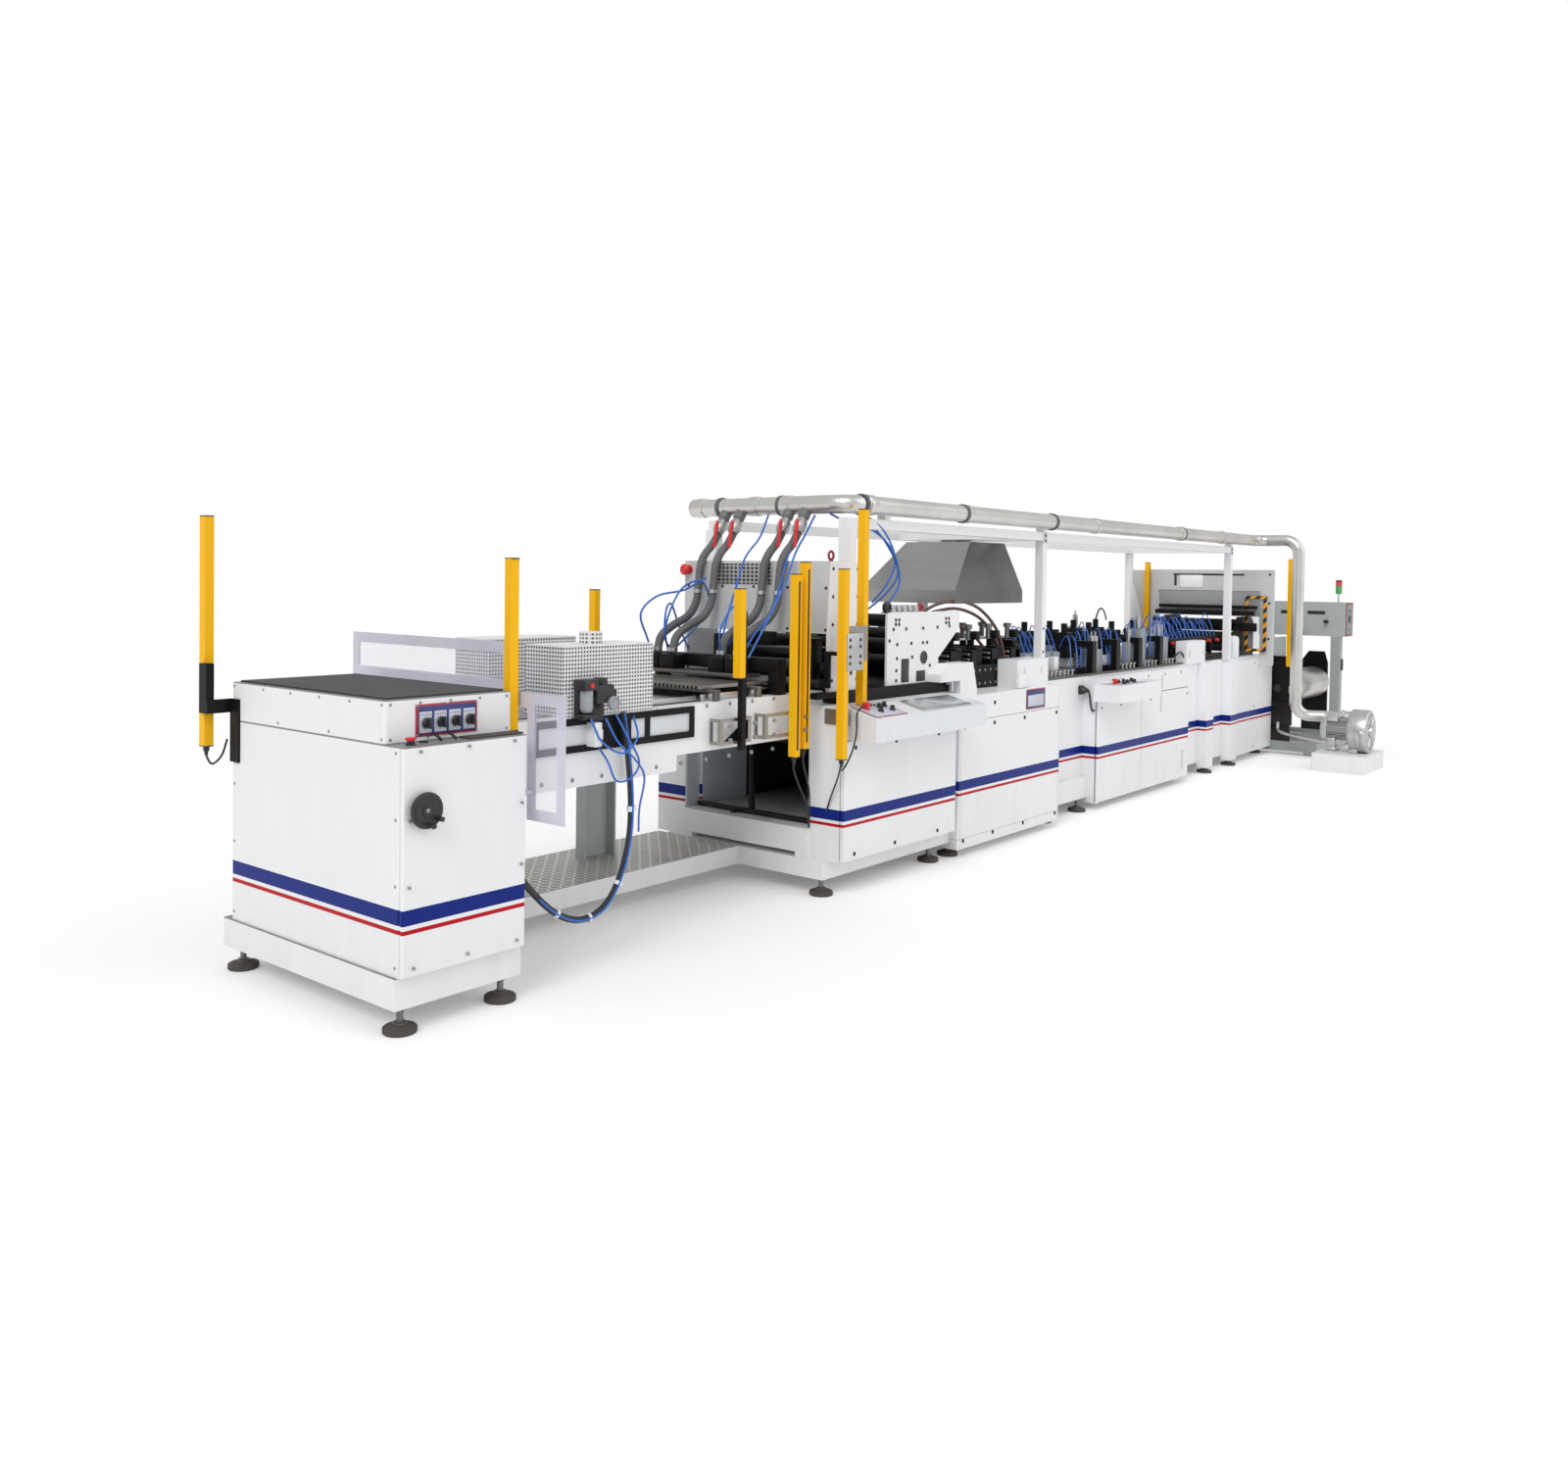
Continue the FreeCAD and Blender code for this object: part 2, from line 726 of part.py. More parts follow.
def guard_box(x, y):
    """Sheet guard over the drive, open below."""
    inner = box(
        ("%s + guard_sheet" % x, "%s + guard_sheet" % y, "beam_top - 1"),
        ("guard_long - 2 * guard_sheet", "guard_deep - 2 * guard_sheet", "guard_tall - guard_sheet + 1"),
    )
    return without(box((x, y, "beam_top"), ("guard_long", "guard_deep", "guard_tall")), [inner])


cap_start = ("guard_x + guard_long / 2", "beam_front + guard_deep / 2", "beam_top + guard_tall - 1")
node(
    "guard_boxes",
    [
        guard_box("guard_x", "beam_front"),
        rod("z", cap_start, "cap_tall", "cap_radius"),
        guard_box("(guard_x + guard_shift)", far("beam_front", "guard_deep")),
    ],
)
service_face = "(beam_front - service_plate)"
node(
    "air_unit",
    [
        box(("service_x", service_face, "service_low"), ("210", "service_plate", "120")),
        box(("service_x", "%s - 50" % service_face, "service_low + 50"), ("60", "50", "70")),
        box(("service_x + 60", "%s - 60" % service_face, "service_low + 40"), ("70", "60", "100")),
        box(("service_x + 130", "%s - 50" % service_face, "service_low + 50"), ("80", "50", "70")),
        rod("z", ("service_x + 30", "%s - 25" % service_face, "service_low - 20"), "80", "bowl_radius", 12),
        rod("z", ("service_x + 95", "%s - 30" % service_face, "service_low - 30"), "80", "bowl_radius", 12),
        box(("service_x + 205", "%s - 40" % service_face, "service_low"), ("60", "52", "60")),
    ],
)
node(
    "rear_curtain",
    [
        box(("1752", FAR_WALL, "beam_seam + 40"), ("80", "90", "bracket_thick")),
        box(("1775", "%s + 90" % FAR_WALL, "beam_seam"), ("curtain_wide", "curtain_deep", "661")),
    ],
)

# Walkway under the conveyor, with the column that carries the far beam
walk_x = "(stacker_length + base_margin / 2 + fit_gap)"
walk_long = "(%s - head_base_x - fit_gap - %s)" % (HEAD_X, walk_x)
walk_tall = "(walk_top - walk_low - walk_plate)"
node(
    "walkway",
    [
        beam_frame((walk_x, "walk_front", "walk_low"), (walk_long, "walk_wide", walk_tall), "walk_rim"),
        box(("%s + %s / 2" % (walk_x, walk_long), "walk_front + 10", "walk_low"), ("walk_rim", "walk_wide - 20", walk_tall)),
        box((walk_x, "walk_front", "(walk_top - walk_plate)"), (walk_long, "walk_wide", "walk_plate")),
    ],
)
column_y = far("beam_front", "beam_deep")
column_tall = "(beam_seam - walk_top)"
column_hollow = box(
    ("column_x + column_wall", "%s - 1" % column_y, "walk_top - 1"),
    ("column_wide - 2 * column_wall", "(beam_deep - column_wall + 1)", "%s + 2" % column_tall),
)
column_block = box(("column_x", column_y, "walk_top"), ("column_wide", "beam_deep", column_tall))
node("delivery_column", [without(column_block, [column_hollow])])

# Cable loop from the air unit to the stacker: each pair is a place along the line and a height
CABLE_ROUTE = [
    (1090.0, 939.0),
    (1135.0, 720.0),
    (1142.0, 430.0),
    (1040.0, 215.0),
    (900.0, 165.0),
    (760.0, 215.0),
    (620.0, 345.0),
    (504.3, 483.0),
]
cable_points = [spot(x, "cable_y", z) for x, z in CABLE_ROUTE]
node("cable_loop", [hose(cable_points, amount("cable_radius"))])

# Base of the head, with the cross beam on packers
base_x = "(%s - head_base_x)" % HEAD_X
base_long = "(head_base_x + console_length + console_gap)"
base_wide = "(2 * (line_centre - head_base_front))"
base_tall = "(walk_top - walk_low)"
cross_x = "(%s - cross_wide / 6)" % HEAD_X
cross_size = ("cross_wide", "(2 * (line_centre - side_front))", "(cross_top - cross_low)")
base_parts = [
    beam_frame((base_x, "head_base_front", "walk_low"), (base_long, base_wide, base_tall), "base_beam"),
    box(("%s + %s / 2" % (base_x, base_long), "head_base_front + 10", "walk_low"), ("base_beam", "%s - 20" % base_wide, base_tall)),
    box((cross_x, "side_front", "cross_low"), cross_size),
]
base_parts += twin_boxes((cross_x, "side_front", "walk_top - 1"), ("cross_wide / 2", "60", "(cross_low - walk_top + 2)"))
node("head_base", base_parts)
foot_line = "(head_base_front + base_beam / 2)"
rail_line = "(side_front - rail_proud / 2)"
head_feet = foot_pair("%s + 26" % HEAD_X, foot_line, "walk_low")
head_feet += foot_pair("%s - 40" % CONSOLE_END, foot_line, "walk_low")
head_feet += foot_pair("%s + 60" % DRIVE_X, foot_line, "drive_low")
head_feet += foot_pair("%s + 70" % DRIVE_END, rail_line, "side_low")
head_feet += foot_pair("%s - 100" % SEAL_X, rail_line, "side_low")
node("head_feet", head_feet)

# Frame of the line: two side plates, deck, ties, rails and channels
side_outline = [
    ("0", "walk_top"),
    (HEAD_LONG, "walk_top"),
    (HEAD_LONG, "side_low"),
    ("(%s - %s)" % (INFEED_END, SIDE_X), "side_low"),
    ("(%s - %s)" % (INFEED_END, SIDE_X), "table_top"),
    (HEAD_LONG, "table_top"),
    (HEAD_LONG, "head_bed"),
    ("0", "head_bed"),
]
frame_parts = [slab("XZ_Plane", side_outline, "side_thick", (SIDE_X, "side_front", "0"))]
frame_parts.append(slab("XZ_Plane", side_outline, "side_thick", (SIDE_X, "(%s - side_thick)" % FAR_WALL, "0")))
deck_long = "(%s - %s)" % (INFEED_END, DRIVE_X)
frame_parts.append(box((DRIVE_X, INNER_FRONT, "table_top - deck_thick"), (deck_long, INNER_WIDE, "deck_thick")))
seam_x = "(%s + seam_share)" % SEAL_X
tie_places = (
    "(%s - 150)" % SEAL_X,
    seam_x,
    "(%s + first_channel)" % SEAL_END,
    "(%s - 82 - tie_wide / 2)" % INFEED_END,
)
for x in tie_places:
    frame_parts.append(box((x, INNER_FRONT, "side_low"), ("tie_wide", INNER_WIDE, "tie_wide")))
rail_corner = (DRIVE_END, "side_front - rail_proud", "side_low")
frame_parts += twin_boxes(rail_corner, ("recess_length", "rail_proud", "rail_tall"))
channel_size = ("channel_wide", "(side_front - channel_front)", "(table_top - seal_low)")
for x in ("(%s + first_channel)" % SEAL_END, "(%s - channel_wide)" % INFEED_X):
    frame_parts += twin_boxes((x, "channel_front", "seal_low"), channel_size)
node("line_frame", frame_parts)
node("head_bed_block", [box((SIDE_X, INNER_FRONT, "beam_low"), (HEAD_LONG, INNER_WIDE, "(head_bed - beam_low)"))])
feed_feet = foot_pair("%s + first_channel + channel_wide / 2" % SEAL_END, "(channel_front + 36)", "seal_low")
feed_feet += foot_pair("%s - channel_wide / 2" % INFEED_X, "(channel_front + 36)", "seal_low")
feed_feet += foot_pair("%s - 82" % INFEED_END, "(side_front + side_thick + 40)", "side_low")
node("feed_feet", feed_feet)


# Cabinets and their doors
def pocket_box(x, front, low, long, deep, tall):
    """The hollow that a cabinet keeps behind a door."""
    return box((x, "%s - 1" % front, low), (long, "%s - cabinet_wall + 1" % deep, tall))


def hinge_block(x, y, low, front):
    """A pivot block that reaches from a cabinet's front to a door's pin, above or below the door."""
    tall = "(door_clear - fit_gap)"
    arm = box(("%s - pin_radius" % x, y, low), ("2 * pin_radius", "%s - %s + 1" % (front, y), tall))
    return [rod("z", (x, y, low), tall, "pin_radius"), arm]


def door(label, pin_x, pin_y, low, tall, start, long):
    """A sheet door with a round pin edge over its whole height."""
    plate = box((start, "%s - pin_radius" % pin_y, low), (long, "door_thick", tall))
    node(label, [plate, rod("z", (pin_x, pin_y, low), tall, "pin_radius")])


console_face = "(console_front + door_thick + door_rest)"
console_deep = "(side_front - %s)" % console_face
console_pin = "(%s - pin_inset)" % CONSOLE_END
console_pin_y = "(console_front + pin_radius)"
console_low = "(walk_top + door_clear)"
console_high = "(desk_low - door_clear)"
console_block = box((HEAD_X, console_face, "walk_top"), ("console_length", console_deep, "(console_top - walk_top)"))
console_hollow = pocket_box(
    "%s + cabinet_wall" % HEAD_X,
    console_face,
    "walk_top + cabinet_wall",
    "(console_length - 2 * cabinet_wall)",
    console_deep,
    "(desk_low - walk_top - 2 * cabinet_wall)",
)
console_blocks = hinge_block(console_pin, console_pin_y, "walk_top", console_face)
console_blocks += hinge_block(console_pin, console_pin_y, "(%s + fit_gap)" % console_high, console_face)
node("console_cabinet", [without(console_block, [console_hollow])] + console_blocks)
console_start = "(%s + door_clear / 2)" % HEAD_X
console_tall = "(%s - %s)" % (console_high, console_low)
console_long = "(%s - %s)" % (console_pin, console_start)
door("console_door", console_pin, console_pin_y, console_low, console_tall, console_start, console_long)
desk_deep = "(%s - console_front + desk_reach)" % console_face
desk_outline = [
    ("0", "desk_low"),
    (desk_deep, "desk_low"),
    (desk_deep, "console_top"),
    ("0", "desk_front_top"),
]
desk_corner = ("%s + desk_shift" % HEAD_X, "console_front - desk_reach", "0")
node("console_desk", [slab("YZ_Plane", desk_outline, "desk_long", desk_corner)])

far_head_size = ("console_length", "(side_front - console_front)", "(console_top - walk_top)")
drive_size = ("drive_length", "(side_front - drive_front)", "(table_top - drive_low)")
far_seal_size = ("seal_length", "(side_front - seal_front)", "(table_top - seal_low)")
node(
    "far_cabinets",
    [
        soft_box((HEAD_X, FAR_WALL, "walk_top"), far_head_size),
        soft_box((DRIVE_X, FAR_WALL, "drive_low"), drive_size),
        soft_box((SEAL_X, FAR_WALL, "seal_low"), far_seal_size),
    ],
)
node("drive_cabinet", [soft_box((DRIVE_X, "drive_front", "drive_low"), drive_size)])

seal_face = "(seal_front + door_thick + door_rest)"
seal_deep = "(side_front - %s)" % seal_face
seal_pin_y = "(seal_front + pin_radius)"
seal_door_low = "(seal_low + door_clear)"
seal_door_high = "(seal_fold - door_clear)"
seal_door_tall = "(%s - %s)" % (seal_door_high, seal_door_low)
left_pin = "(%s + pin_inset)" % SEAL_X
right_pin = "(%s - pin_inset)" % SEAL_END
hollow_low = "(seal_low + cabinet_wall)"
hollow_tall = "(seal_fold - seal_low - 2 * cabinet_wall)"
left_hollow = "(seam_share - cabinet_wall - mullion / 2)"
right_hollow = "(seal_length - seam_share - cabinet_wall - mullion / 2)"
seal_hollows = [
    pocket_box("(%s + cabinet_wall)" % SEAL_X, seal_face, hollow_low, left_hollow, seal_deep, hollow_tall),
    pocket_box("(%s + mullion / 2)" % seam_x, seal_face, hollow_low, right_hollow, seal_deep, hollow_tall),
]
seal_block = box((SEAL_X, seal_face, "seal_low"), ("seal_length", seal_deep, "(table_top - seal_low)"))
fold_size = ("seal_length", "(%s - seal_front + 1)" % seal_face, "(table_top - seal_fold)")
seal_parts = [without(seal_block, seal_hollows), box((SEAL_X, "seal_front", "seal_fold"), fold_size)]
for pin_x in (left_pin, right_pin):
    seal_parts += hinge_block(pin_x, seal_pin_y, "seal_low", seal_face)
    seal_parts += hinge_block(pin_x, seal_pin_y, "(%s + fit_gap)" % seal_door_high, seal_face)
small_desk_corner = ("%s - small_desk_shift" % SEAL_X, "seal_front - small_desk_reach", "seal_fold")
seal_parts.append(box(small_desk_corner, ("small_desk_long", "small_desk_reach", "small_desk_tall")))
node("seal_cabinet", seal_parts)
left_long = "(%s - door_clear / 2 - %s)" % (seam_x, left_pin)
door("seal_door_left", left_pin, seal_pin_y, seal_door_low, seal_door_tall, left_pin, left_long)
right_start = "(%s + door_clear / 2)" % seam_x
right_long = "(%s - %s)" % (right_pin, right_start)
door("seal_door_right", right_pin, seal_pin_y, seal_door_low, seal_door_tall, right_start, right_long)
infeed_size = ("infeed_length", "(side_front - infeed_front)", "(infeed_top - infeed_low)")
node(
    "infeed_covers",
    [soft_box((INFEED_X, y, "infeed_low"), infeed_size, "cabinet_edge / 2") for y in ("infeed_front", FAR_WALL)],
)

# Head: slide rails, portal, holed plates with their rollers
rail_rest = "(side_front - slide_front)"
head_rails = twin_boxes((SIDE_X, "slide_front", "console_top"), (HEAD_LONG, rail_rest, "(head_bed - console_top)"))
head_rails += twin_boxes(("slide_x", "slide_front", "head_bed"), ("slide_long", "slide_wide", "slide_tall"))
node("head_rails", head_rails)
portal_start = "(%s + portal_x)" % HEAD_X
portal_tall = "(portal_top - %s)" % SLIDE_TOP
portal_parts = twin_boxes((portal_start, "portal_front", SLIDE_TOP), ("portal_deep", "portal_wall", portal_tall))
portal_wide = "(2 * (line_centre - portal_front - portal_wall) + 2)"
portal_inner = "(portal_front + portal_wall - 1)"
panel_size = ("portal_wall", portal_wide, "(portal_top - portal_sill)")
portal_parts.append(box((portal_start, portal_inner, "portal_sill"), panel_size))
top_size = ("portal_deep", portal_wide, "portal_wall")
portal_parts.append(box((portal_start, portal_inner, "(portal_top - portal_wall)"), top_size))
node("head_portal", portal_parts)
holed_outline = [
    ("0", SLIDE_TOP),
    ("holed_low_long", SLIDE_TOP),
    ("holed_low_long", "holed_knee"),
    ("holed_top_long", "holed_shoulder"),
    ("holed_top_long", "holed_top"),
    ("0", "holed_top"),
]
holed_start = "(%s + holed_x)" % HEAD_X
node(
    "holed_plates",
    [
        slab("XZ_Plane", holed_outline, "holed_thick", (holed_start, y, "0"))
        for y in ("portal_front", far("portal_front", "holed_thick"))
    ],
)
between = "(2 * (line_centre - portal_front - holed_thick))"
roller_front = "portal_front + holed_thick"
HEAD_ROLLERS = [(80, 190, 40), (230, 90, 50), (380, 230, 40), (420, 60, 30), (560, 300, 35)]
node(
    "head_rollers",
    [
        rod("y", ("%s + %d" % (holed_start, x), roller_front, "%s + %d" % (SLIDE_TOP, z)), between, radius, 20)
        for x, z, radius in HEAD_ROLLERS
    ],
)

# Vacuum head over the end of the belt, on two uprights
upright = ("vacuum_beam", "beam_deep", "(vacuum_low - beam_top + 1)")
vacuum_parts = twin_boxes(("vacuum_x", "beam_front", "beam_top"), upright)
vacuum_size = ("vacuum_beam", "(2 * (line_centre - beam_front))", "vacuum_beam")
vacuum_parts.append(box(("vacuum_x", "beam_front", "vacuum_low"), vacuum_size))
HOSE_LINES = [370, 470, 780, 880]
for y in HOSE_LINES:
    corner = ("vacuum_x - vacuum_box + 1", "%d - vacuum_box / 2" % y, "vacuum_low + vacuum_beam - vacuum_tall")
    vacuum_parts.append(box(corner, ("vacuum_box", "vacuum_box", "vacuum_tall")))
hose_end = "(vacuum_x - vacuum_box / 2)"
for y in HOSE_LINES:
    hose_route = [
        spot("cross_pipe_x", y, "valve_low - fit_gap"),
        spot("cross_pipe_x", y, "valve_low - 75"),
        spot("cross_pipe_x - 210", y, "valve_low - 110"),
        spot("vacuum_x + 240", y, "vacuum_low + 260"),
        spot(hose_end, y, "vacuum_low + vacuum_beam + 110"),
        spot(hose_end, y, "vacuum_low + vacuum_beam - 5"),
    ]
    vacuum_parts.append(hose(hose_route, amount("hose_radius"), amount("hose_bend"), 6))
node("vacuum_head", vacuum_parts)

# Housings beside the press, and the press itself
housing_start = "(%s - console_gap)" % CONSOLE_END
housing_step = "(2 * console_gap)"
housing_outline = [
    ("0", "(%s + fit_gap)" % SLIDE_TOP),
    ("0", "(%s + 40)" % SLIDE_TOP),
    ("(housing_long * 0.25)", "housing_top"),
    ("(housing_long * 0.87)", "housing_top"),
    ("housing_long", "(head_bed - 30)"),
    ("housing_long", "table_top"),
    (housing_step, "table_top"),
    (housing_step, "(%s + fit_gap)" % SLIDE_TOP),
]
housing_deep = "(portal_front - fit_gap - drive_front)"
block_corner = ("(%s - block_shift)" % DRIVE_END, "(drive_front + 50)", "table_top")
node(
    "drive_housings",
    [
        slab("XZ_Plane", housing_outline, housing_deep, (housing_start, "drive_front", "0")),
        soft_box(block_corner, ("block_long", "140", "block_tall")),
    ],
)
press_front = "(%s + 24)" % INNER_FRONT
press_wide = "(%s - 48)" % INNER_WIDE
press_parts = []
for number in range(4):
    press_x = "(%s + press_first + %d * press_pitch)" % (DRIVE_X, number)
    press_parts += twin_boxes((press_x, press_front, "table_top"), ("press_bar", "press_bar", "(press_tall + 1)"))
    press_parts.append(box((press_x, press_front, "table_top + press_tall"), ("press_bar", press_wide, "press_bar * 0.8")))
    bar_corner = ("%s + press_bar / 4" % press_x, "%s + press_bar - 1" % press_front, "table_top")
    press_parts.append(box(bar_corner, ("press_bar / 2", "%s - 2 * press_bar + 2" % press_wide, "press_bar / 2")))
    for share in (0.25, 0.5, 0.75):
        ram = ("%s + press_bar / 2" % press_x, "%s + %s * %s" % (INNER_FRONT, INNER_WIDE, share), "table_top + press_tall / 2")
        press_parts.append(rod("z", ram, "(press_tall / 2 + press_bar * 1.6)", "ram_radius", 8))
node("press_units", press_parts)

# Fume hood: a hopper form open below, where two tapered outlines meet
hood_tall = "(hood_top - hood_low)"
hood_start = "(%s - hood_back)" % DRIVE_END


def taper(long, first, last, inset):
    """A tapered outline with an upright rim, drawn in by an inset on all sides."""
    rise = "(%s - %s)" % (hood_tall, inset)
    return [
        (inset, "-%s" % inset),
        ("(%s - %s)" % (long, inset), "-%s" % inset),
        ("(%s - %s)" % (long, inset), "hood_rim"),
        ("(%s - %s - %s)" % (long, last, inset), rise),
        ("(%s + %s)" % (first, inset), rise),
        (inset, "hood_rim"),
    ]


def hood_form(inset):
    corner = (hood_start, "hood_front", "hood_low")
    form = doc.addObject("Part::Common", "hood")
    form.Base = slab("XZ_Plane", taper("hood_long", "hood_neck", "hood_crown", inset), "hood_wide", corner)
    form.Tool = slab("YZ_Plane", taper("hood_wide", "hood_side", "hood_side", inset), "hood_long", corner)
    return form


duct_x = "(%s + (hood_neck + hood_long - hood_crown) / 2)" % hood_start
duct_start = (duct_x, "hood_front + hood_wide / 2", "hood_top - 1")
hood_shell = without(hood_form("0"), [hood_form("hood_wall")])
node("fume_hood", [hood_shell, rod("z", duct_start, "duct_tall", "duct_radius")])

# Overhead frame: posts, two long beams and cross beams
over_start = "(cross_pipe_x - post_side / 2)"
over_end = "(%s - over_back)" % INFEED_X
over_size = ("(%s - %s)" % (over_end, over_start), "post_side", "over_tall")
over_parts = twin_boxes((over_start, "post_front", "over_low"), over_size)
post_places = ("(%s - post_side)" % over_end, "(%s - post_side)" % DRIVE_END)
cross_places = post_places + ("(%s - duct_radius - fit_gap - post_side)" % duct_x, "(%s + duct_radius + fit_gap)" % duct_x)
for x in cross_places:
    cross_size = ("post_side", "(2 * (line_centre - post_front) - 2)", "over_tall")
    over_parts.append(box((x, "post_front + 1", "over_low"), cross_size))
for x in post_places:
    over_parts += twin_boxes((x, "post_front", "table_top"), ("post_side", "post_side", "(over_low - table_top + 1)"))
stub_size = ("post_side", "(post_front + post_side - portal_front)", "(over_low - portal_top + 1)")
over_parts += twin_boxes((over_start, "portal_front", "portal_top"), stub_size)
node("overhead_frame", over_parts)

# Suction pipe: across the head, along the line, down to the blower
pipe_route = [
    spot("cross_pipe_x", "cross_pipe_end", "pipe_z"),
    spot("cross_pipe_x", "pipe_y", "pipe_z"),
    spot("drop_x", "pipe_y", "pipe_z"),
    spot("drop_x", "drop_y", "pipe_z"),
    spot("drop_x", "drop_y", "drop_low"),
    spot("port_x", "%s + 200" % FAN_BACK, "drop_low"),
    spot("port_x", "(%s + port_long + fit_gap)" % FAN_BACK, "drop_low"),
]
pipe_parts = [hose(pipe_route, amount("pipe_radius"), amount("elbow_radius"), 12)]
sleeve = "(pipe_radius + sleeve_wall)"
sleeve_places = (
    "cross_pipe_x + 500",
    "%s - 400" % DRIVE_END,
    "%s" % SEAL_X,
    "%s - 600" % SEAL_END,
    "%s - 400" % INFEED_X,
)
for x in sleeve_places:
    pipe_parts.append(rod("x", (x, "pipe_y", "pipe_z"), "sleeve_long", sleeve, 12))
pipe_parts.append(rod("y", ("cross_pipe_x", "cross_pipe_end - sleeve_long", "pipe_z"), "sleeve_long + 4", sleeve, 12))
pipe_parts.append(rod("y", ("cross_pipe_x", "line_centre", "pipe_z"), "sleeve_long", sleeve, 12))
pipe_parts.append(rod("z", ("drop_x", "drop_y", "drop_low + elbow_radius + sleeve_long"), "sleeve_long", sleeve, 12))
for y in HOSE_LINES:
    pipe_parts.append(rod("z", ("cross_pipe_x", y, "valve_low"), "(pipe_z - valve_low)", "valve_radius", 12))
saddle_low = "(over_low + over_tall + fit_gap)"
for x in ("cross_pipe_x + 300", "(%s - post_side)" % DRIVE_END, "(%s - post_side)" % over_end):
    saddle_size = ("post_side", "post_side", "(pipe_z - pipe_radius / 2 - over_low - over_tall)")
    pipe_parts.append(box((x, "post_front", saddle_low), saddle_size))
node("suction_pipe", pipe_parts)

# Rails, punches and boxes on the table
feed_start = "(%s - 40)" % SEAL_X
feed_size = ("(%s + 150 - %s)" % (INFEED_X, feed_start), "feed_rail_wide", "feed_rail_tall")
punch_parts = twin_boxes((feed_start, "%s + 60" % INNER_FRONT, "table_top"), feed_size)
for number in range(4):
    punch_x = "(%s + punch_first + %d * punch_pitch)" % (SEAL_X, number)
    punch_parts += twin_boxes((punch_x, INNER_FRONT, "table_top"), ("punch_bar", "40", "punch_tall + 1"))
    punch_parts.append(box((punch_x, INNER_FRONT, "table_top + punch_tall"), ("punch_bar", INNER_WIDE, "40")))
    for share in (0.3, 0.7):
        punch_y = "%s + %s * %s" % (INNER_FRONT, INNER_WIDE, share)
        head_corner = ("%s - 30" % punch_x, "%s - 45" % punch_y, "table_top + punch_tall - 80")
        punch_parts.append(box(head_corner, ("punch_bar + 60", "90", "punch_tall - 10")))
        ram = ("%s + punch_bar / 2" % punch_x, punch_y, "table_top + punch_tall + 80")
        punch_parts.append(rod("z", ram, "70", "ram_radius", 8))
node("punch_units", punch_parts)
node("table_boxes", [soft_box(("%s + 183" % SEAL_END, "side_front - 21", "table_top"), ("380", "95", "169"))])

# Web guide: portal with a wing, rollers between their plates, swinging guard
leg_inner = "(infeed_front - fit_gap)"
leg_far = "(2 * line_centre - infeed_front + fit_gap)"
web_outline = [
    ("web_front", "web_low"),
    (leg_inner, "web_low"),
    (leg_inner, "web_beam"),
    (leg_far, "web_beam"),
    (leg_far, "web_low"),
    ("(2 * line_centre - web_front)", "web_low"),
    ("(2 * line_centre - web_front)", "web_top"),
    ("web_front", "web_top"),
]
wing_y = far("web_front", "bracket_thick")
flap_pin = "(flap_x + flap_thick / 2)"
web_parts = [slab("YZ_Plane", web_outline, "web_deep", ("web_x", "0", "0"))]
wing_size = ("(web_x - wing_x + 1)", "bracket_thick", "(wing_top - wing_low)")
web_parts.append(box(("wing_x", wing_y, "wing_low"), wing_size))
for low in ("flap_low - bracket_thick - fit_gap", "flap_top + fit_gap"):
    arm_size = ("(web_x - %s + 1)" % flap_pin, "2 * pin_radius", "bracket_thick")
    web_parts.append(box((flap_pin, "flap_front - pin_radius", low), arm_size))
    web_parts.append(rod("z", (flap_pin, "flap_front", low), "bracket_thick", "pin_radius"))
node("web_portal", web_parts)
flap_tall = "(flap_top - flap_low)"
flap_plate = box(("flap_x", "flap_front", "flap_low"), ("flap_thick", "(flap_back - flap_front)", flap_tall))
node("hazard_flap", [flap_plate, rod("z", (flap_pin, "flap_front", "flap_low"), flap_tall, "pin_radius")])
guide_outline = [
    ("0", "table_top"),
    ("guide_long", "table_top"),
    ("guide_long", "(table_top + guide_tall - 50)"),
    ("(guide_long - 60)", "(table_top + guide_tall)"),
    ("160", "(table_top + guide_tall)"),
    ("0", "(table_top + 120)"),
]
guide_x = "(%s + guide_start)" % INFEED_X
guide_front = "(%s + guide_inset)" % INNER_FRONT
guide_parts = [
    slab("XZ_Plane", guide_outline, "holed_thick", (guide_x, y, "0"))
    for y in (guide_front, far(guide_front, "holed_thick"))
]
guide_wide = "(%s - 2 * guide_inset - 2 * holed_thick)" % INNER_WIDE
for x, z in [(110, 70), (200, 170), (260, 270), (360, 110), (440, 230), (500, 60)]:
    roller_start = ("%s + %d" % (guide_x, x), "%s + holed_thick" % guide_front, "table_top + %d" % z)
    guide_parts.append(rod("y", roller_start, guide_wide, "guide_roller", 12))
node("web_guide", guide_parts)
node(
    "infeed_curtains",
    [
        box(("8483", "(%s - curtain_deep - fit_gap)" % wing_y, "1048"), ("curtain_wide", "curtain_deep", "588")),
        box(("8833", "-21", "780"), ("curtain_wide", "(%s + 21)" % leg_inner, "bracket_thick")),
        box(("8833", "-60", "758"), ("curtain_wide", "curtain_deep", "914")),
    ],
)

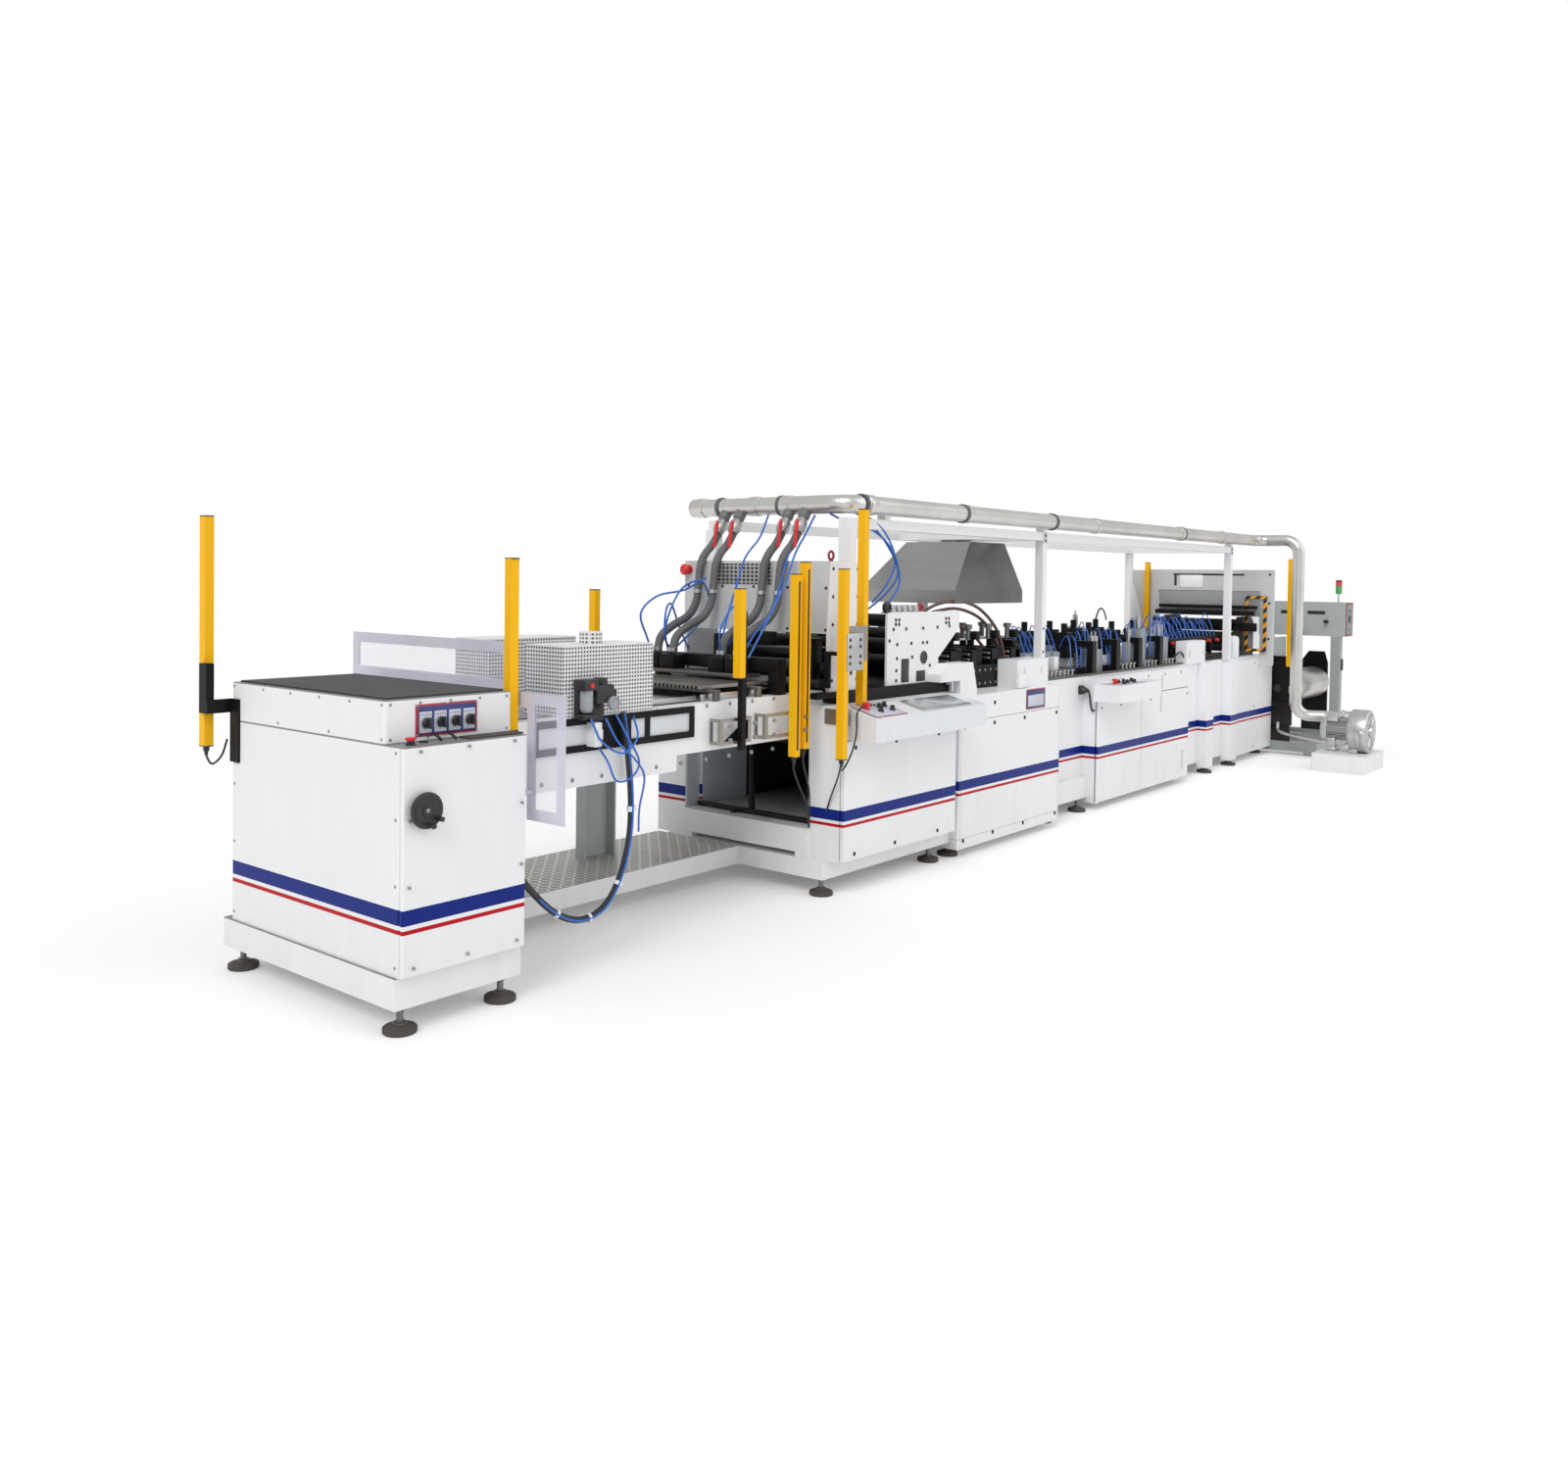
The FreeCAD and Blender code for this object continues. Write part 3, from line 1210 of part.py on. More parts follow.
# Curtains at the head, on brackets
stay_front = "(beam_front - bracket_wide)"
plate_up = ("bracket_thick", "bracket_wide", "110")
head_curtains = [
    curtain("%s + lead_out" % HEAD_X, "-12", "console_top", "905"),
    curtain("%s - lead_in" % HEAD_X, "-60", "656", "851"),
    box(("%s - lead_in" % HEAD_X, "-41", "1090"), ("lead_in + lead_out", "10", "160")),
    box(("%s - lead_in" % HEAD_X, "-60", "800"), ("lead_in", "bracket_thick", "70")),
    box(("(%s - bracket_thick)" % HEAD_X, "-60", "800"), ("bracket_thick", "140", "70")),
    curtain("%s - stay_back - stay_gap" % HEAD_X, "%s - 19" % stay_front, "697", "838"),
    curtain("%s - stay_back - stay_gap - 68" % HEAD_X, "%s - 19" % stay_front, "667", "814"),
    curtain("%s - stay_bar + 17 - 33" % HEAD_X, "%s - 19" % stay_front, "1040", "376"),
    box(("%s - stay_bar" % HEAD_X, "%s - 25" % stay_front, "733"), ("26", "26", "575")),
]
for near, wide in (("stay_back", "stay_wide"), ("stay_far", "stay_slim")):
    left = "(%s - %s - %s)" % (HEAD_X, near, wide)
    right = "(%s - %s)" % (HEAD_X, near)
    head_curtains.append(box((left, stay_front, "760"), (wide, "bracket_thick", "110")))
    head_curtains.append(box((left, stay_front, "760"), plate_up))
    head_curtains.append(box(("%s - bracket_thick" % right, stay_front, "760"), plate_up))
node("head_curtains", head_curtains)

# Blower: plinth, finned motor and fan housing
node("blower_plinth", [soft_box(("plinth_x", "plinth_y", "0"), ("plinth_long", "plinth_wide", "plinth_tall"))])
fan_outline = [
    ("0", "0"),
    ("(fan_radius * 0.7)", "0"),
    ("fan_radius", "(fan_deep * 0.3)"),
    ("fan_radius", "(fan_deep * 0.7)"),
    ("(fan_radius * 0.88)", "(fan_deep * 0.9)"),
    ("(fan_radius * 0.5)", "fan_deep"),
    ("0", "fan_deep"),
]
motor_core = "(motor_radius - fin_tall)"
fins = []
fin_long = "(motor_long * 0.7 + 1)"
for step in range(-3, 4):
    fin_z = "(fan_z + %d * motor_radius * 0.2 - fin_thick / 2)" % step
    reach = "(motor_radius * %.3f)" % (1.0 - 0.04 * step * step)
    fin_corner = ("(fan_x - %s)" % reach, "%s - 1" % FAN_BACK, fin_z)
    fins.append(box(fin_corner, ("(2 * %s)" % reach, fin_long, "fin_thick")))
node(
    "blower",
    [
        turned("-y", fan_outline, ("fan_x", FAN_BACK, "fan_z")),
        rod("y", ("fan_x", "%s - 1" % FAN_BACK, "fan_z"), "motor_long", motor_core, 16),
        rod("y", ("fan_x", "%s + motor_long * 0.7" % FAN_BACK, "fan_z"), "(motor_long * 0.25)", "motor_radius", 16),
        rod("y", ("port_x", "%s - 40" % FAN_BACK, "drop_low"), "(port_long + 40)", "port_radius", 16),
        box(("fan_x - 70", "%s + 50" % FAN_BACK, "fan_z + motor_radius - 15"), ("70", "80", "50")),
        box(("fan_x - 110", "%s - fan_deep * 0.7" % FAN_BACK, "plinth_tall"), ("220", "60", "80")),
        box(("fan_x - 70", "%s + 60" % FAN_BACK, "plinth_tall"), ("140", "80", "110")),
        *fins,
    ],
)

# Unwinder: frame on pads, arms, roll, cross box on masts
stand_top = "(unwind_pad + unwind_tall)"
stand_size = ("unwind_long", "unwind_wide", "unwind_tall")
stand_parts = [beam_frame((UNWIND_X, "unwind_y", "unwind_pad"), stand_size, "unwind_beam")]
stand_parts.append(box(("box_x", "unwind_y + 1", "unwind_pad"), ("unwind_beam", "unwind_wide - 2", "unwind_tall")))
for x in (UNWIND_X, "(%s + unwind_long - unwind_beam)" % UNWIND_X):
    for y in ("unwind_y", "(unwind_y + unwind_wide - unwind_beam)"):
        stand_parts.append(box((x, y, "0"), ("unwind_beam", "unwind_beam", "unwind_pad + 1")))
mast_size = ("mast_side", "mast_side", "(box_low - %s + 1)" % stand_top)
for y in ("(roll_y - mast_reach)", "(roll_y + mast_reach - mast_side)"):
    stand_parts.append(box(("box_x", y, "%s - 1" % stand_top), mast_size))
node("unwind_stand", stand_parts)
arm_outline = [
    ("-arm_half", stand_top),
    ("arm_half", stand_top),
    ("arm_half", "(arm_top - 80)"),
    ("(arm_half - 55)", "arm_top"),
    ("(30 - arm_half)", "arm_top"),
    ("-arm_half", "(arm_top - 105)"),
]
motor_corner = ("(%s - motor_deep)" % ARM_X, "(roll_y - arm_half - 21)", "motor_low")
node(
    "unwind_arms",
    [
        slab("YZ_Plane", arm_outline, "arm_thick", (ARM_X, "roll_y", "0")),
        slab("YZ_Plane", arm_outline, "arm_thick", ("(%s + arm_apart)" % ARM_X, "roll_y", "0")),
        soft_box(motor_corner, ("(motor_deep + 1)", "motor_wide", "motor_tall"), "motor_deep / 3"),
    ],
)
roll_long = "(arm_apart - arm_thick - 2 * fit_gap)"
roll_outline = [
    ("0", "0"),
    ("shaft_radius", "0"),
    ("shaft_radius", "roll_margin"),
    ("roll_radius", "roll_margin"),
    ("roll_radius", "(%s - roll_margin)" % roll_long),
    ("shaft_radius", "(%s - roll_margin)" % roll_long),
    ("shaft_radius", roll_long),
    ("0", roll_long),
]
node("unwind_roll", [turned("x", roll_outline, ("(%s + arm_thick + fit_gap)" % ARM_X, "roll_y", "roll_z"))])
cross_box_size = ("box_long", "(2 * (roll_y - box_front))", "(box_top - box_low)")
node("cross_box", [soft_box(("box_x", "box_front", "box_low"), cross_box_size)])
lamp_x = "(box_x + mast_side / 2)"
node(
    "tower_lamp",
    [
        rod("z", (lamp_x, "lamp_y", "box_top"), "lamp_stem", "lamp_radius / 3", 8),
        rod("z", (lamp_x, "lamp_y", "(box_top + lamp_stem - 1)"), "lamp_tall", "lamp_radius", 16),
    ],
)

doc.recompute()

# Every feature and every sub-part has to be whole before anything is written
faults = []
for item in doc.Objects:
    if "Invalid" in item.State or "Error" in item.State:
        faults.append("%s %s" % (item.Name, item.State))
for piece in NODES:
    if piece.Shape.isNull() or not piece.Shape.isValid() or piece.Shape.Volume <= 0:
        faults.append("%s has no sound shape" % piece.Label)
if faults:
    raise RuntimeError("; ".join(faults))

os.makedirs("parts", exist_ok=True)
whole = FreeCAD.BoundBox()
for piece in NODES:
    piece.Shape.exportStep("parts/%s.step" % piece.Label)
    whole.add(piece.Shape.BoundBox)
print("%d nodes" % len(NODES))
print("box", [round(v, 1) for v in (whole.XMin, whole.YMin, whole.ZMin, whole.XMax, whole.YMax, whole.ZMax)])
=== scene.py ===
import math

import bmesh
import bpy
import numpy as np
from mathutils import Matrix


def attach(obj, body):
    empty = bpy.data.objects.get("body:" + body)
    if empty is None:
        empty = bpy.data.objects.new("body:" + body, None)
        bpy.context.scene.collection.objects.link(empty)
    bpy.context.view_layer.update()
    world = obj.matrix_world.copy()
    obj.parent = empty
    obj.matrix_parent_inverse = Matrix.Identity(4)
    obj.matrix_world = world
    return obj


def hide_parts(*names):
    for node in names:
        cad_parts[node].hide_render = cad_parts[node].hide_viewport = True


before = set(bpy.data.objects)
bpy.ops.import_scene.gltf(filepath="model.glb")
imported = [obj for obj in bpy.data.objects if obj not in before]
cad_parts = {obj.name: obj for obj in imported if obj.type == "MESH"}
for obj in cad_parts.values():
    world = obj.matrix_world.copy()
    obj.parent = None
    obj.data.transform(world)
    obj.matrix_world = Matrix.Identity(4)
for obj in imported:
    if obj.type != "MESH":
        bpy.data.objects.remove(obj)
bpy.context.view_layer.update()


# The room: a pale floor, a white surround and soft lamps, with the camera low at the
# stacker's corner, so that the line runs away to the right. A finish is a material whose
# nodes are written as sums.


class Wire:
    """One socket of a finish. A sum on it adds a Math node."""

    def __init__(self, finish, socket):
        self.finish = finish
        self.socket = socket

    def sum(self, operation, *values):
        return self.finish.add("ShaderNodeMath", {"operation": operation}, dict(enumerate(values)))

    def __add__(self, other):
        return self.sum("ADD", self, other)

    def __radd__(self, other):
        return self.sum("ADD", other, self)

    def __sub__(self, other):
        return self.sum("SUBTRACT", self, other)

    def __rsub__(self, other):
        return self.sum("SUBTRACT", other, self)

    def __mul__(self, other):
        return self.sum("MULTIPLY", self, other)

    def __rmul__(self, other):
        return self.sum("MULTIPLY", other, self)

    def __truediv__(self, other):
        return self.sum("DIVIDE", self, other)

    def __gt__(self, other):
        return self.sum("GREATER_THAN", self, other)

    def __lt__(self, other):
        return self.sum("LESS_THAN", self, other)

    def __abs__(self):
        return self.sum("ABSOLUTE", self)

    def fract(self):
        return self.sum("FRACT", self)

    def between(self, low, high):
        return (self > low) * (self < high)

    def at_least(self, other):
        return self.sum("MAXIMUM", self, other)


class Finish:
    """A material on one Principled shader, and the record's slot that pieces of it take. add() puts in
    any other node."""

    def __init__(self, name, colour, roughness, metallic=0.0, slot="steel", **sockets):
        self.slot = slot
        self.material = bpy.data.materials.new(name)
        self.material.use_nodes = True
        self.nodes = self.material.node_tree.nodes
        self.links = self.material.node_tree.links
        self.shader = self.nodes["Principled BSDF"]
        self.set("Base Color", (*colour, 1.0))
        self.set("Roughness", roughness)
        self.set("Metallic", metallic)
        for socket, value in sockets.items():
            self.set(socket.replace("_", " "), value)

    def set(self, socket, value):
        if isinstance(value, Wire):
            self.links.new(value.socket, self.shader.inputs[socket])
        else:
            self.shader.inputs[socket].default_value = value

    def add(self, kind, settings=None, sockets=None, out=0):
        node = self.nodes.new(kind)
        for name, value in (settings or {}).items():
            setattr(node, name, value)
        for name, value in (sockets or {}).items():
            if isinstance(value, Wire):
                self.links.new(value.socket, node.inputs[name])
            else:
                node.inputs[name].default_value = value
        return Wire(self, node.outputs[out])

    def place(self):
        """The point on the object, and its x, y and z in metres."""
        point = self.add("ShaderNodeTexCoord", out="Object")
        apart = [self.add("ShaderNodeSeparateXYZ", None, {0: point}, out=axis) for axis in range(3)]
        return point, apart

    def noise(self, point, scale, detail=3.0, stretch=None):
        """Cloudy noise from 0 to 1, drawn out along an axis where stretch is given."""
        if stretch:
            point = self.add("ShaderNodeMapping", None, {"Vector": point, "Scale": stretch})
        return self.add("ShaderNodeTexNoise", None, {"Vector": point, "Scale": scale, "Detail": detail})

    def blend(self, share, first, second):
        """A colour between two, by share."""
        sockets = {"Factor": share, 6: first, 7: second}
        return self.add("ShaderNodeMix", {"data_type": "RGBA"}, sockets, out=2)

    def paint(self, share, first, second):
        """The base colour goes from the first colour to the second by share."""
        self.set("Base Color", self.blend(share, first, second))

    def bump(self, height, strength, distance=0.001):
        sockets = {"Height": height, "Strength": strength, "Distance": distance}
        self.set("Normal", self.add("ShaderNodeBump", None, sockets))


def put_in(name, data):
    """An object made of this data, in the scene."""
    thing = bpy.data.objects.new(name, data)
    bpy.context.scene.collection.objects.link(thing)
    return thing


FLOOR_GLOW = 0.16  # lifts the floor towards white for the camera alone
FLOOR_REACH = 60
SURROUND = 0.64  # the surround's strength for light and gloss, where the camera sees 1

floor_finish = Finish("pale_floor", (0.9, 0.9, 0.9), 0.9, Emission_Strength=1.0)
seen = floor_finish.add("ShaderNodeLightPath", out="Is Camera Ray")
floor_finish.set("Emission Color", seen * FLOOR_GLOW)
floor_mesh = bpy.data.meshes.new("floor")
floor_corners = [(x * FLOOR_REACH, y * FLOOR_REACH, 0) for x, y in ((-1, -1), (1, -1), (1, 1), (-1, 1))]
floor_mesh.from_pydata(floor_corners, [], [(0, 1, 2, 3)])
floor_mesh.materials.append(floor_finish.material)
put_in("floor", floor_mesh)

world = bpy.data.worlds.new("soft_white")
world.use_nodes = True
bpy.context.scene.world = world
sky = world.node_tree.nodes
rays = sky.new("ShaderNodeLightPath")
seen_white = sky.new("ShaderNodeMath")
seen_white.operation = "MAXIMUM"
strength = sky.new("ShaderNodeMapRange")
strength.inputs["To Min"].default_value = SURROUND
strength.inputs["To Max"].default_value = 1.0
join = world.node_tree.links.new
join(rays.outputs["Is Camera Ray"], seen_white.inputs[0])
join(rays.outputs["Is Transmission Ray"], seen_white.inputs[1])
join(seen_white.outputs[0], strength.inputs["Value"])
join(strength.outputs[0], sky["Background"].inputs["Strength"])
sky["Background"].inputs["Color"].default_value = (1.0, 1.0, 1.0, 1.0)

for lamp_name, energy, angle, turn in (
    ("key", 1.15, 30, (48, 0, -70)),
    ("fill", 0.55, 60, (60, 0, 25)),
):
    lamp = bpy.data.lights.new(lamp_name, "SUN")
    lamp.energy = energy
    lamp.angle = math.radians(angle)
    put_in(lamp_name, lamp).rotation_euler = [math.radians(value) for value in turn]

# The camera's lens, place and turn were fitted to the photograph.
eye = bpy.data.cameras.new("eye")
eye.sensor_width = 36.0
eye.lens = 28.686
eye.shift_x = 0.0229
eye.shift_y = -0.0825
eye.clip_end = 200.0
camera = put_in("eye", eye)
yaw, pitch, roll = (math.radians(value) for value in (50.244, 1.3546, 0.7577))
ahead = np.array([math.sin(yaw) * math.cos(pitch), math.cos(yaw) * math.cos(pitch), -math.sin(pitch)])
level = np.array([math.cos(yaw), -math.sin(yaw), 0.0])
upward = np.cross(level, ahead)
right = math.cos(roll) * level + math.sin(roll) * upward
above = math.cos(roll) * upward - math.sin(roll) * level
turned_to = Matrix(np.column_stack([right, above, -ahead]).tolist()).to_4x4()
camera.matrix_world = Matrix.Translation((-7.31635, -3.4576, 1.4706)) @ turned_to
bpy.context.scene.camera = camera
bpy.context.scene.view_settings.view_transform = "Standard"


# The cable of the delivery section: a thick black sheathed bundle that leaves the conveyor,
# hangs in a loop and goes back into the stacker. White ties hold a thin blue air tube to it.

LINE_DATUM = np.array([5018.65, 159.5, 0.0])  # the frame's origin, from the stacker's corner, in mm
UP, FRONT, BACK = (0, 0, 1), (0, -1, 0), (0, 1, 0)
LEFT, RIGHT = (-1, 0, 0), (1, 0, 0)


def on_line(points):
    """Millimetres from the stacker's corner become metres in the frame of the CAD model."""
    return (np.asarray(points, float) - LINE_DATUM) / 1000.0


def rubber(name, colour, roughness=0.55, slot="black_plastic"):
    """Sheathing: a dull skin with fine moulding noise and a little dust."""
    finish = Finish(name, colour, roughness, slot=slot)
    point, _ = finish.place()
    cloud = finish.noise(point, 60.0)
    dusty = tuple(min(1.0, value * 1.5 + 0.01) for value in colour)
    finish.paint(cloud, (*colour, 1), (*dusty, 1))
    finish.set("Roughness", 0.15 * cloud + (roughness - 0.08))
    finish.bump(finish.noise(point, 900.0), 0.15, 0.0005)
    return finish


black_sheath = rubber("black_sheath", (0.022, 0.022, 0.026))
blue_tube = rubber("blue_tube", (0.022, 0.115, 0.44), 0.35)
white_tie = rubber("white_tie", (0.75, 0.76, 0.78), 0.4)

CABLE_ROUTE = [
    (1090, 939), (1135, 720), (1142, 430), (1040, 215), (900, 165), (760, 215), (620, 345), (504.3, 483),
]
cable_points = on_line([(x, 140.0, z) for x, z in CABLE_ROUTE])
cable_curve = bpy.data.curves.new("cable_sheath", "CURVE")
cable_curve.dimensions = "3D"
cable_spline = cable_curve.splines.new("NURBS")
cable_spline.points.add(len(cable_points) - 1)
for knot, spot in zip(cable_spline.points, cable_points):
    knot.co = (*spot, 1.0)
cable_spline.order_u = 3
cable_spline.use_endpoint_u = True
cable_spline.resolution_u = 12
cable = put_in("cable_sheath", cable_curve)
bare = bpy.data.meshes.new_from_object(cable)
cable_line = np.array([vertex.co[:] for vertex in bare.vertices])
bpy.data.meshes.remove(bare)
cable_length = float(np.linalg.norm(np.diff(cable_line, axis=0), axis=1).sum())
cable_curve.bevel_depth = 0.0125
cable_curve.bevel_resolution = 4
cable_curve.use_fill_caps = True
cable_curve.materials.append(black_sheath.material)


def skin(name, grids, finish, body="line", sharp=40):
    """A mesh from grids of points in millimetres, each (count, along, around, 3): every cell is a face,
    the last column joins the first, and doubled points at the closed ends are merged."""
    corners = []
    faces = []
    first = 0
    for grid in grids:
        grid = np.asarray(grid, float)
        grid = grid[None] if grid.ndim == 3 else grid
        count, rows, columns = grid.shape[:3]
        index = first + np.arange(count * rows * columns).reshape(count, rows, columns)
        beside = np.roll(index, -1, axis=2)
        cells = [index[:, :-1], beside[:, :-1], beside[:, 1:], index[:, 1:]]
        faces.append(np.stack(cells, axis=-1).reshape(-1, 4))
        corners.append(grid.reshape(-1, 3))
        first += count * rows * columns
    mesh = bpy.data.meshes.new(name)
    mesh.from_pydata(on_line(np.concatenate(corners)).tolist(), [], np.concatenate(faces).tolist())
    weld = bmesh.new()
    weld.from_mesh(mesh)
    bmesh.ops.remove_doubles(weld, verts=weld.verts, dist=2e-6)
    bmesh.ops.recalc_face_normals(weld, faces=weld.faces)
    weld.to_mesh(mesh)
    weld.free()
    mesh.shade_smooth()
    mesh.set_sharp_from_angle(angle=math.radians(sharp))
    mesh.materials.append(finish.material)
    piece = put_in(name, mesh)
    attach(piece, body)
    return piece


def tube(line, radius, sides=10):
    """A round section carried along a line of points, square to the run, closed at both ends."""
    line = np.asarray(line, float)
    run = np.gradient(line, axis=0)
    run /= np.linalg.norm(run, axis=1)[:, None]
    lean = np.linalg.svd(line - line.mean(axis=0))[2][-1]
    side = np.cross(lean, run)
    side /= np.linalg.norm(side, axis=1)[:, None]
    other = np.cross(run, side)
    angle = np.linspace(0, 2 * np.pi, sides, endpoint=False)[None, :, None]
    size = np.broadcast_to(np.asarray(radius, float), (len(line),))[:, None, None]
    rings = line[:, None] + size * (np.cos(angle) * side[:, None] + np.sin(angle) * other[:, None])
    ends = [np.repeat(line[[end]][:, None], sides, axis=1) for end in (0, -1)]
    return np.concatenate([ends[0], rings, ends[1]])


def sweep_line(points, steps=8):
    """A smooth line through the points: each run is the cubic that its four nearest points give."""
    points = np.asarray(points, float)
    padded = np.vstack([2 * points[0] - points[1], points, 2 * points[-1] - points[-2]])
    along = np.linspace(0, len(points) - 1, (len(points) - 1) * steps + 1)
    run = np.minimum(along.astype(int), len(points) - 2)
    share = (along - run)[:, None]
    a, b, c, d = (padded[run + step] for step in range(4))
    cubic = (3 * b - a - 3 * c + d) * share + (2 * a - 5 * b + 4 * c - d)
    return 0.5 * ((cubic * share + (c - a)) * share + 2 * b)


def turned(profile, centres, axis=UP, sides=20):
    """A profile of radius and height, swung round an axis through each centre."""
    profile = np.asarray(profile, float)
    centres = np.asarray(centres, float).reshape(-1, 1, 1, 3)
    axis = np.asarray(axis, float)
    side = np.roll(axis, 1)
    other = np.cross(axis, side)
    angle = np.linspace(0, 2 * np.pi, sides, endpoint=False)[:, None]
    ring = np.cos(angle) * side + np.sin(angle) * other
    radius, height = profile[:, 0, None, None], profile[:, 1, None, None]
    return centres + height * axis + radius * ring


cable_mm = cable_line * 1000 + LINE_DATUM
beside_cable = cable_mm[:-12] + np.array([-6.0, -16.5, 0.0])  # the tube stops short of the stacker
tie_rows = [14, 30, 46, 62]
ties = skin(
    "cable_ties",
    [tube(cable_mm[row : row + 2] + [0, -1.5, 0], 18.0, 16) for row in tie_rows],
    white_tie,
)
air_line = skin("cable_air_tube", [tube(beside_cable, 4.0, 8)], blue_tube)
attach(cable, "line")
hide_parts("cable_loop")


# The stacker: a sheet steel housing on levelling pads, powder coated white with blue and red
# stripes, closed by screwed covers. A ribbed rubber mat takes the stacks of pouches.


def dress(node, *finishes):
    """Puts finishes on a CAD node: the first everywhere, and each further pair of finish and test where
    the test of face middles and face directions, in millimetres, says so."""
    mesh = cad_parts[node].data
    mesh.materials.clear()
    mesh.materials.append(finishes[0].material)
    count = len(mesh.polygons)
    middle = np.empty(count * 3)
    outward = np.empty(count * 3)
    mesh.polygons.foreach_get("center", middle)
    mesh.polygons.foreach_get("normal", outward)
    middle = middle.reshape(-1, 3) * 1000 + LINE_DATUM
    outward = outward.reshape(-1, 3)
    which = np.zeros(count, dtype=np.int32)
    for number, (finish, test) in enumerate(finishes[1:], 1):
        mesh.materials.append(finish.material)
        which[test(middle, outward)] = number
    mesh.polygons.foreach_set("material_index", which)


DUSTY_UP_TO = 0.5
STRIPES = [(0.359, 0.409, (0.004, 0.018, 0.20, 1)), (0.331, 0.345, (0.48, 0.003, 0.010, 1))]


def coat(name, colour, roughness=0.34, stripes=False, seams=(), slot="white_paint"):
    """Powder coat: fine orange peel, soft hand marks, dust near the floor. Stripes lie between fixed
    heights on every panel, and seams are thin dark joints at stated places along the line."""
    sheen = {"Coat_Weight": 0.02, "Coat_Roughness": 0.2, "Specular_IOR_Level": 0.16}
    finish = Finish(name, colour, roughness, slot=slot, **sheen)
    point, (x, y, z) = finish.place()
    cloud = finish.noise(point, 2.2, 4.0)
    marks = finish.noise(point, 14.0, 5.0, (1.0, 1.0, 0.25))
    worn = tuple(value * 0.9 for value in colour)
    tone = finish.blend(cloud * marks * 0.7, (*colour, 1), (*worn, 1))
    tone = finish.blend((1 - z / DUSTY_UP_TO).at_least(0.0) * marks * 0.22, tone, (0.36, 0.34, 0.3, 1))
    if stripes:
        for low_edge, high_edge, paint in STRIPES:
            tone = finish.blend(z.between(low_edge, high_edge), tone, paint)
    height = finish.noise(point, 420.0, 2.0)
    for axis, low_edge, high_edge in seams:
        line = (x, y, z)[axis].between(low_edge, high_edge)
        tone = finish.blend(line * 0.75, tone, (0.06, 0.06, 0.065, 1))
        height = height - 2.5 * line
    finish.set("Base Color", tone)
    finish.set("Roughness", 0.16 * marks + (roughness - 0.08))
    finish.bump(height, 0.06, 0.0006)
    return finish


WHITE = (0.86, 0.868, 0.88)
white_coat = coat("white_coat", WHITE)
striped_coat = coat("striped_coat", WHITE, stripes=True)
dress("stacker_base", coat("base_coat", WHITE, seams=[(2, 0.1885, 0.193)]))
dress("stacker_head", coat("head_coat", WHITE, seams=[(2, 0.919, 0.9235), (2, 1.0575, 1.061)]))
housing_seams = [(1, -0.1432, -0.1398), (2, 0.917, 0.9205)]
for node in ("stacker_cabinet", "stacker_cover"):
    dress(node, coat(node + "_coat", WHITE, stripes=True, seams=housing_seams))

mat_finish = Finish("ribbed_mat", (0.03, 0.036, 0.036), 0.62)
mat_point, (_, mat_y, _) = mat_finish.place()
mat_rib = abs((mat_y * 160.0).fract() - 0.5)
mat_dust = mat_finish.noise(mat_point, 9.0, 5.0)
mat_finish.paint(mat_dust, (0.024, 0.028, 0.028, 1), (0.06, 0.066, 0.066, 1))
mat_finish.bump(mat_rib, 0.35, 0.0012)
dress("stacker_mat", mat_finish)


def bare_metal(name, colour, roughness, stretch=(1.0, 1.0, 30.0), scale=18.0, relief=0.05, slot="steel"):
    """Bare or polished metal: drawn-out grain, with a slow change of tone over it. The relief is the
    depth of the grain, near none for polished tube."""
    finish = Finish(name, colour, roughness, 1.0, slot)
    point, _ = finish.place()
    grain = finish.noise(point, scale, 6.0, stretch)
    cloud = finish.noise(point, 3.0)
    dull = tuple(value * 0.72 for value in colour)
    finish.paint(cloud * grain * 1.4, (*colour, 1), (*dull, 1))
    finish.set("Roughness", (0.04 + 3.0 * relief) * grain + (roughness - 0.02 - 1.5 * relief))
    finish.bump(grain, relief, 0.0005)
    return finish


def moulded(name, colour, roughness=0.4, slot="black_plastic"):
    """Moulded plastic: fine grain and a faint change of gloss."""
    finish = Finish(name, colour, roughness, slot=slot)
    point, _ = finish.place()
    cloud = finish.noise(point, 24.0)
    lighter = tuple(min(1.0, value * 1.25 + 0.004) for value in colour)
    finish.paint(cloud, (*colour, 1), (*lighter, 1))
    finish.set("Roughness", 0.12 * cloud + (roughness - 0.06))
    finish.bump(finish.noise(point, 700.0), 0.1, 0.0004)
    return finish


steel = bare_metal("drawn_steel", (0.58, 0.585, 0.59), 0.34)
dark_steel = bare_metal("dark_steel", (0.24, 0.235, 0.23), 0.42)
zinc = bare_metal("zinc_screw", (0.42, 0.42, 0.43), 0.35)
black_plastic = moulded("black_plastic", (0.018, 0.018, 0.02), 0.38)
red_plastic = moulded("red_plastic", (0.62, 0.02, 0.02), 0.3)
pad_rubber = rubber("pad_rubber", (0.05, 0.042, 0.036), 0.7, "black_rubber")
for node in ("stacker_feet", "head_feet", "feed_feet"):
    dress(node, dark_steel, (pad_rubber, lambda middle, outward: middle[:, 2] < 24))


def screws(name, centres, axis, radius=5.5, body="line", finish=None):
    """Dome-headed screws with a washer: one turned profile at each centre."""
    centres = np.asarray(centres, float)
    profile = [
        (0, -1), (1.45, -1), (1.45, 0.15), (1.0, 0.15), (0.92, 0.42), (0.62, 0.66), (0.35, 0.72),
        (0.3, 0.4), (0, 0.4),
    ]
    shape = np.asarray(profile) * radius
    grid = turned(shape, centres, axis, 10)
    return skin(name, [grid], finish or zinc, body, 50)


